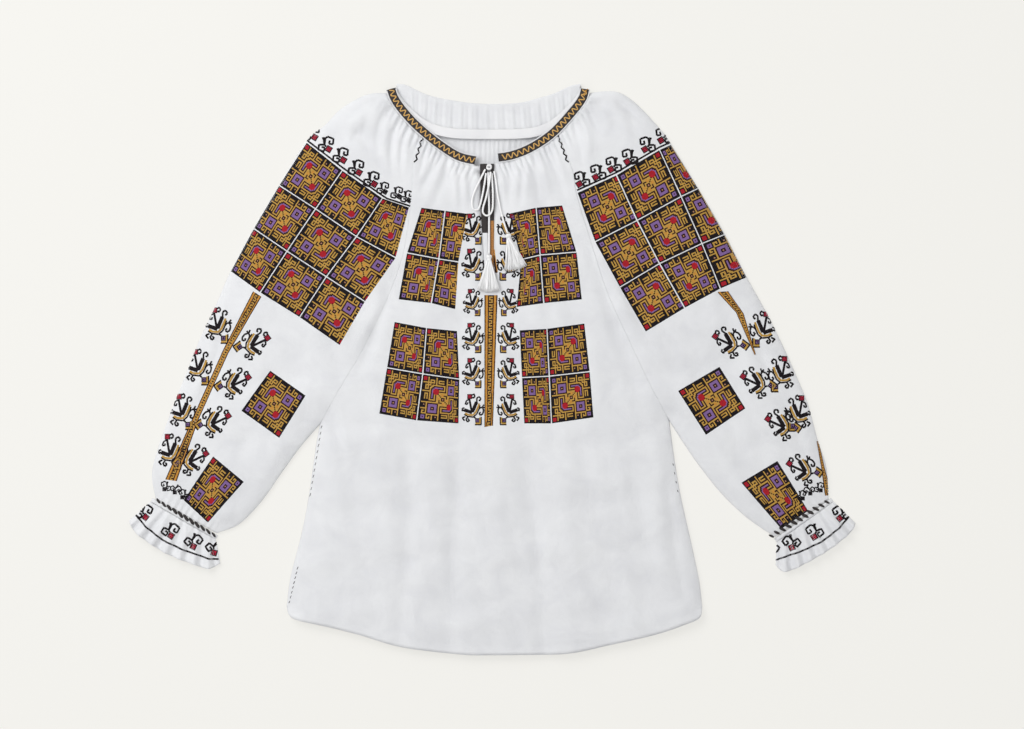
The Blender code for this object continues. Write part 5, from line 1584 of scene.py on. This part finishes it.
stitchTree = makeStitchTree()
stitchVerts = [(-.5, -.5, 0), (.5, -.5, 0), (.5, .5, 0), (-.5, .5, 0), (0, 0, 1)]
stitchFaces = [(0, 1, 4), (1, 2, 4), (2, 3, 4), (3, 0, 4)]
stitchObj = addObject("oneStitch", stitchVerts, stitchFaces, [])


def makeStitches(name, rows, targets, lift=0.12, loft=0.42):
    trees = clothTrees(targets)
    places, turns, sizes, colours = [], [], [], []
    for x, y, turn, length, width, thread in rows:
        best = None
        for tree in trees:
            spot, normal = tree.ray_cast(Vector((x * mm, y * mm, castHeight)), down)[:2]
            if spot is not None and (best is None or spot.z > best[0].z):
                best = (spot, normal)
        if best is None:
            continue
        spot, normal = best
        if normal.z < 0.15:
            continue
        ahead = Vector((math.cos(turn), math.sin(turn), 0))
        ahead = (ahead - normal * ahead.dot(normal)).normalized()
        side = normal.cross(ahead)
        euler = Matrix((ahead, side, normal)).transposed().to_euler()
        places.append(spot + normal * lift * mm)
        turns.append(euler[:])
        sizes.append((length * mm, width * mm, loft * mm))
        colours.append((*threads[thread], 1.0))
    mesh = bpy.data.meshes.new(name)
    mesh.from_pydata([tuple(p) for p in places], [], [])
    for label, kind, field, values in (("turn", "FLOAT_VECTOR", "vector", turns),
                                       ("size", "FLOAT_VECTOR", "vector", sizes),
                                       ("threadColour", "FLOAT_COLOR", "color", colours)):
        attribute = mesh.attributes.new(label, kind, "POINT")
        attribute.data.foreach_set(field, np.array(values, float).ravel())
    obj = putInScene(name, mesh)
    mod = obj.modifiers.new("stitches", "NODES")
    mod.node_group = stitchTree
    inputs = {"Stitch": stitchObj, "Unevenness": 0.12, "Seed": 5, "Thread": embroideryThread}
    for item in stitchTree.interface.items_tree:
        if item.in_out == "INPUT" and item.name in inputs:
            mod[item.identifier] = inputs[item.name]
    done = bpy.data.meshes.new_from_object(obj.evaluated_get(bpy.context.evaluated_depsgraph_get()))
    obj.modifiers.clear()
    obj.data = done
    done.name = name
    print(name, len(done.polygons), "faces")
    return obj


stitchPieces = [
    makeStitches("frontEmbroidery", laid["front"], [frontCloth]),
    makeStitches("sleeveEmbroideryLeft", laid["left"], [sleeveCloth["left"], *cuffs["left"]]),
    makeStitches("sleeveEmbroideryRight", laid["right"], [sleeveCloth["right"], *cuffs["right"]])]


# Gold stepping line on the neckband's front
# The line's pitch along the band, its reach across, its flat tops and the size of a stitch
bandStitch = {"pitch": 7.6, "reach": 2.7, "flat": 1.3, "step": 0.95, "length": 1.35, "width": 1.45}


def makeBandStitches():
    place, sewn, out, run = bandStations()
    spots = []
    corners = []
    pitch = bandStitch["pitch"]
    for k in range(int(run[-1] / pitch * 2)):
        reach = bandStitch["reach"] if k % 2 else -bandStitch["reach"]
        corners.append((k * pitch / 2, reach))
        corners.append((k * pitch / 2 + bandStitch["flat"], reach))
    corners = np.array(corners)
    lengths = runAlong(corners)
    for s in np.arange(0, lengths[-1], bandStitch["step"]):
        along, step = np.interp(s, lengths, corners[:, 0]), np.interp(s, lengths, corners[:, 1])
        c = np.array([np.interp(along, run, place[:, k]) for k in range(3)])
        w = np.array([np.interp(along, run, sewn[:, k]) for k in range(3)])
        if np.interp(along, run, out[:, 2]) < 0.6:
            continue
        spot = c + w * step
        spots.append((spot[0], spot[1], math.atan2(-w[0], w[1]), bandStitch["length"], bandStitch["width"],
                      "bandGold"))
    # a few ochre stitches on the right tip
    for k in range(4):
        for j in range(3):
            x, y = fromPicture(584 + k * 1.7, 96 - k * 3.1 - j)
            spots.append((x, y, 0.9, 1.7, 1.7, "ochre"))
    return makeStitches("neckbandStitches", spots, [bandPiece], lift=0.05, loft=0.35)


stitchPieces.append(makeBandStitches())
bpy.data.objects.remove(stitchObj)
print("embroidery stitched")


# Floor and light
floorLook = {"half": 6, "drop": 0.0004, "glow": 0.75}  # metres
corners = ((-1, -1), (1, -1), (1, 1), (-1, 1))
floorCorners = [(a * floorLook["half"], b * floorLook["half"], 0) for a, b in corners]
floorMesh = bpy.data.meshes.new("floor")
floorMesh.from_pydata(floorCorners, [], [(0, 1, 2, 3)])
floorObj = putInScene("floor", floorMesh)
floorObj.location.z = -floorLook["drop"]
floorMat, _, floorShader = newMaterial("paleFloor", tone(128, 127, 125), 0.95)
floorShader.inputs["Emission Color"].default_value = (*tone(243, 242, 237), 1)
floorShader.inputs["Emission Strength"].default_value = floorLook["glow"]
floorMesh.materials.append(floorMat)

lights = {"key": {"place": (-1.5, 1.25, 2.7), "size": 2.2, "power": 69},
          "fill": {"place": (1.9, -1.5, 2.8), "size": 3.4, "power": 11}}
for name, look in lights.items():
    data = bpy.data.lights.new(name, "AREA")
    data.shape = "SQUARE"
    data.size = look["size"]
    data.energy = look["power"]
    lamp = putInScene(name, data)
    lamp.location = look["place"]
    lamp.rotation_euler = Vector(look["place"]).to_track_quat("Z", "Y").to_euler()
world = bpy.data.worlds.new("studio")
world.use_nodes = True
world.node_tree.nodes["Background"].inputs["Color"].default_value = (1, 1, 1, 1)
world.node_tree.nodes["Background"].inputs["Strength"].default_value = 0.50
bpy.context.scene.world = world
bpy.context.scene.view_settings.view_transform = "Standard"


# Each piece goes under the root body, and the parts of model.glb that it stands for are hidden
def stand(obj, slotName, *nodeNames):
    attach(obj, "root")
    if nodeNames:
        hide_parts(*nodeNames)


stand(frontCloth, "linen", "front_panel")
stand(backCloth, "linen", "back_panel")
for side in ("left", "right"):
    stand(sleeveCloth[side], "linen", "sleeve_" + side)
    stand(cuffs[side][0], "gathering_stitch", "wrist_gather_" + side)
    stand(cuffs[side][1], "linen", "frill_" + side)
    stand(bindings[side], "black_embroidery", "slit_binding_" + side)
stand(bandPiece, "black_embroidery", "neckband")
stand(bandCords, "linen")
stand(knotPiece, "cord_thread", "cord_knot")
for name, piece in tasselPieces.items():
    stand(piece, "cord_thread", name)
for piece in stitchPieces:
    stand(piece, "black_embroidery")
for piece in ropes:
    stand(piece, "gathering_stitch")
for name, (piece, path, length) in cordPieces.items():
    stand(piece, "cord_thread", name)
    tuple(path[0])


def clothArea(obj):
    return sum(face.area for face in obj.data.polygons) / 2


# Flat cut of each sheet in metres, and the share of that rectangle that its shape fills
sheets = {"front": (frontCloth, (0.50, 0.68), 0.9), "back": (backCloth, (0.50, 0.74), 0.9)}
sheets.update({"sleeve " + side: (cloth, (0.42, 0.56), 0.9) for side, cloth in sleeveCloth.items()})
sheets.update({"frill " + side: (pair[1], (0.32, 0.04), 1.0) for side, pair in cuffs.items()})
for name, (piece, flat, share) in sheets.items():
    area = clothArea(piece)
    print("cloth", name, round(area, 4), "cut", round(flat[0] * flat[1] * share, 4))
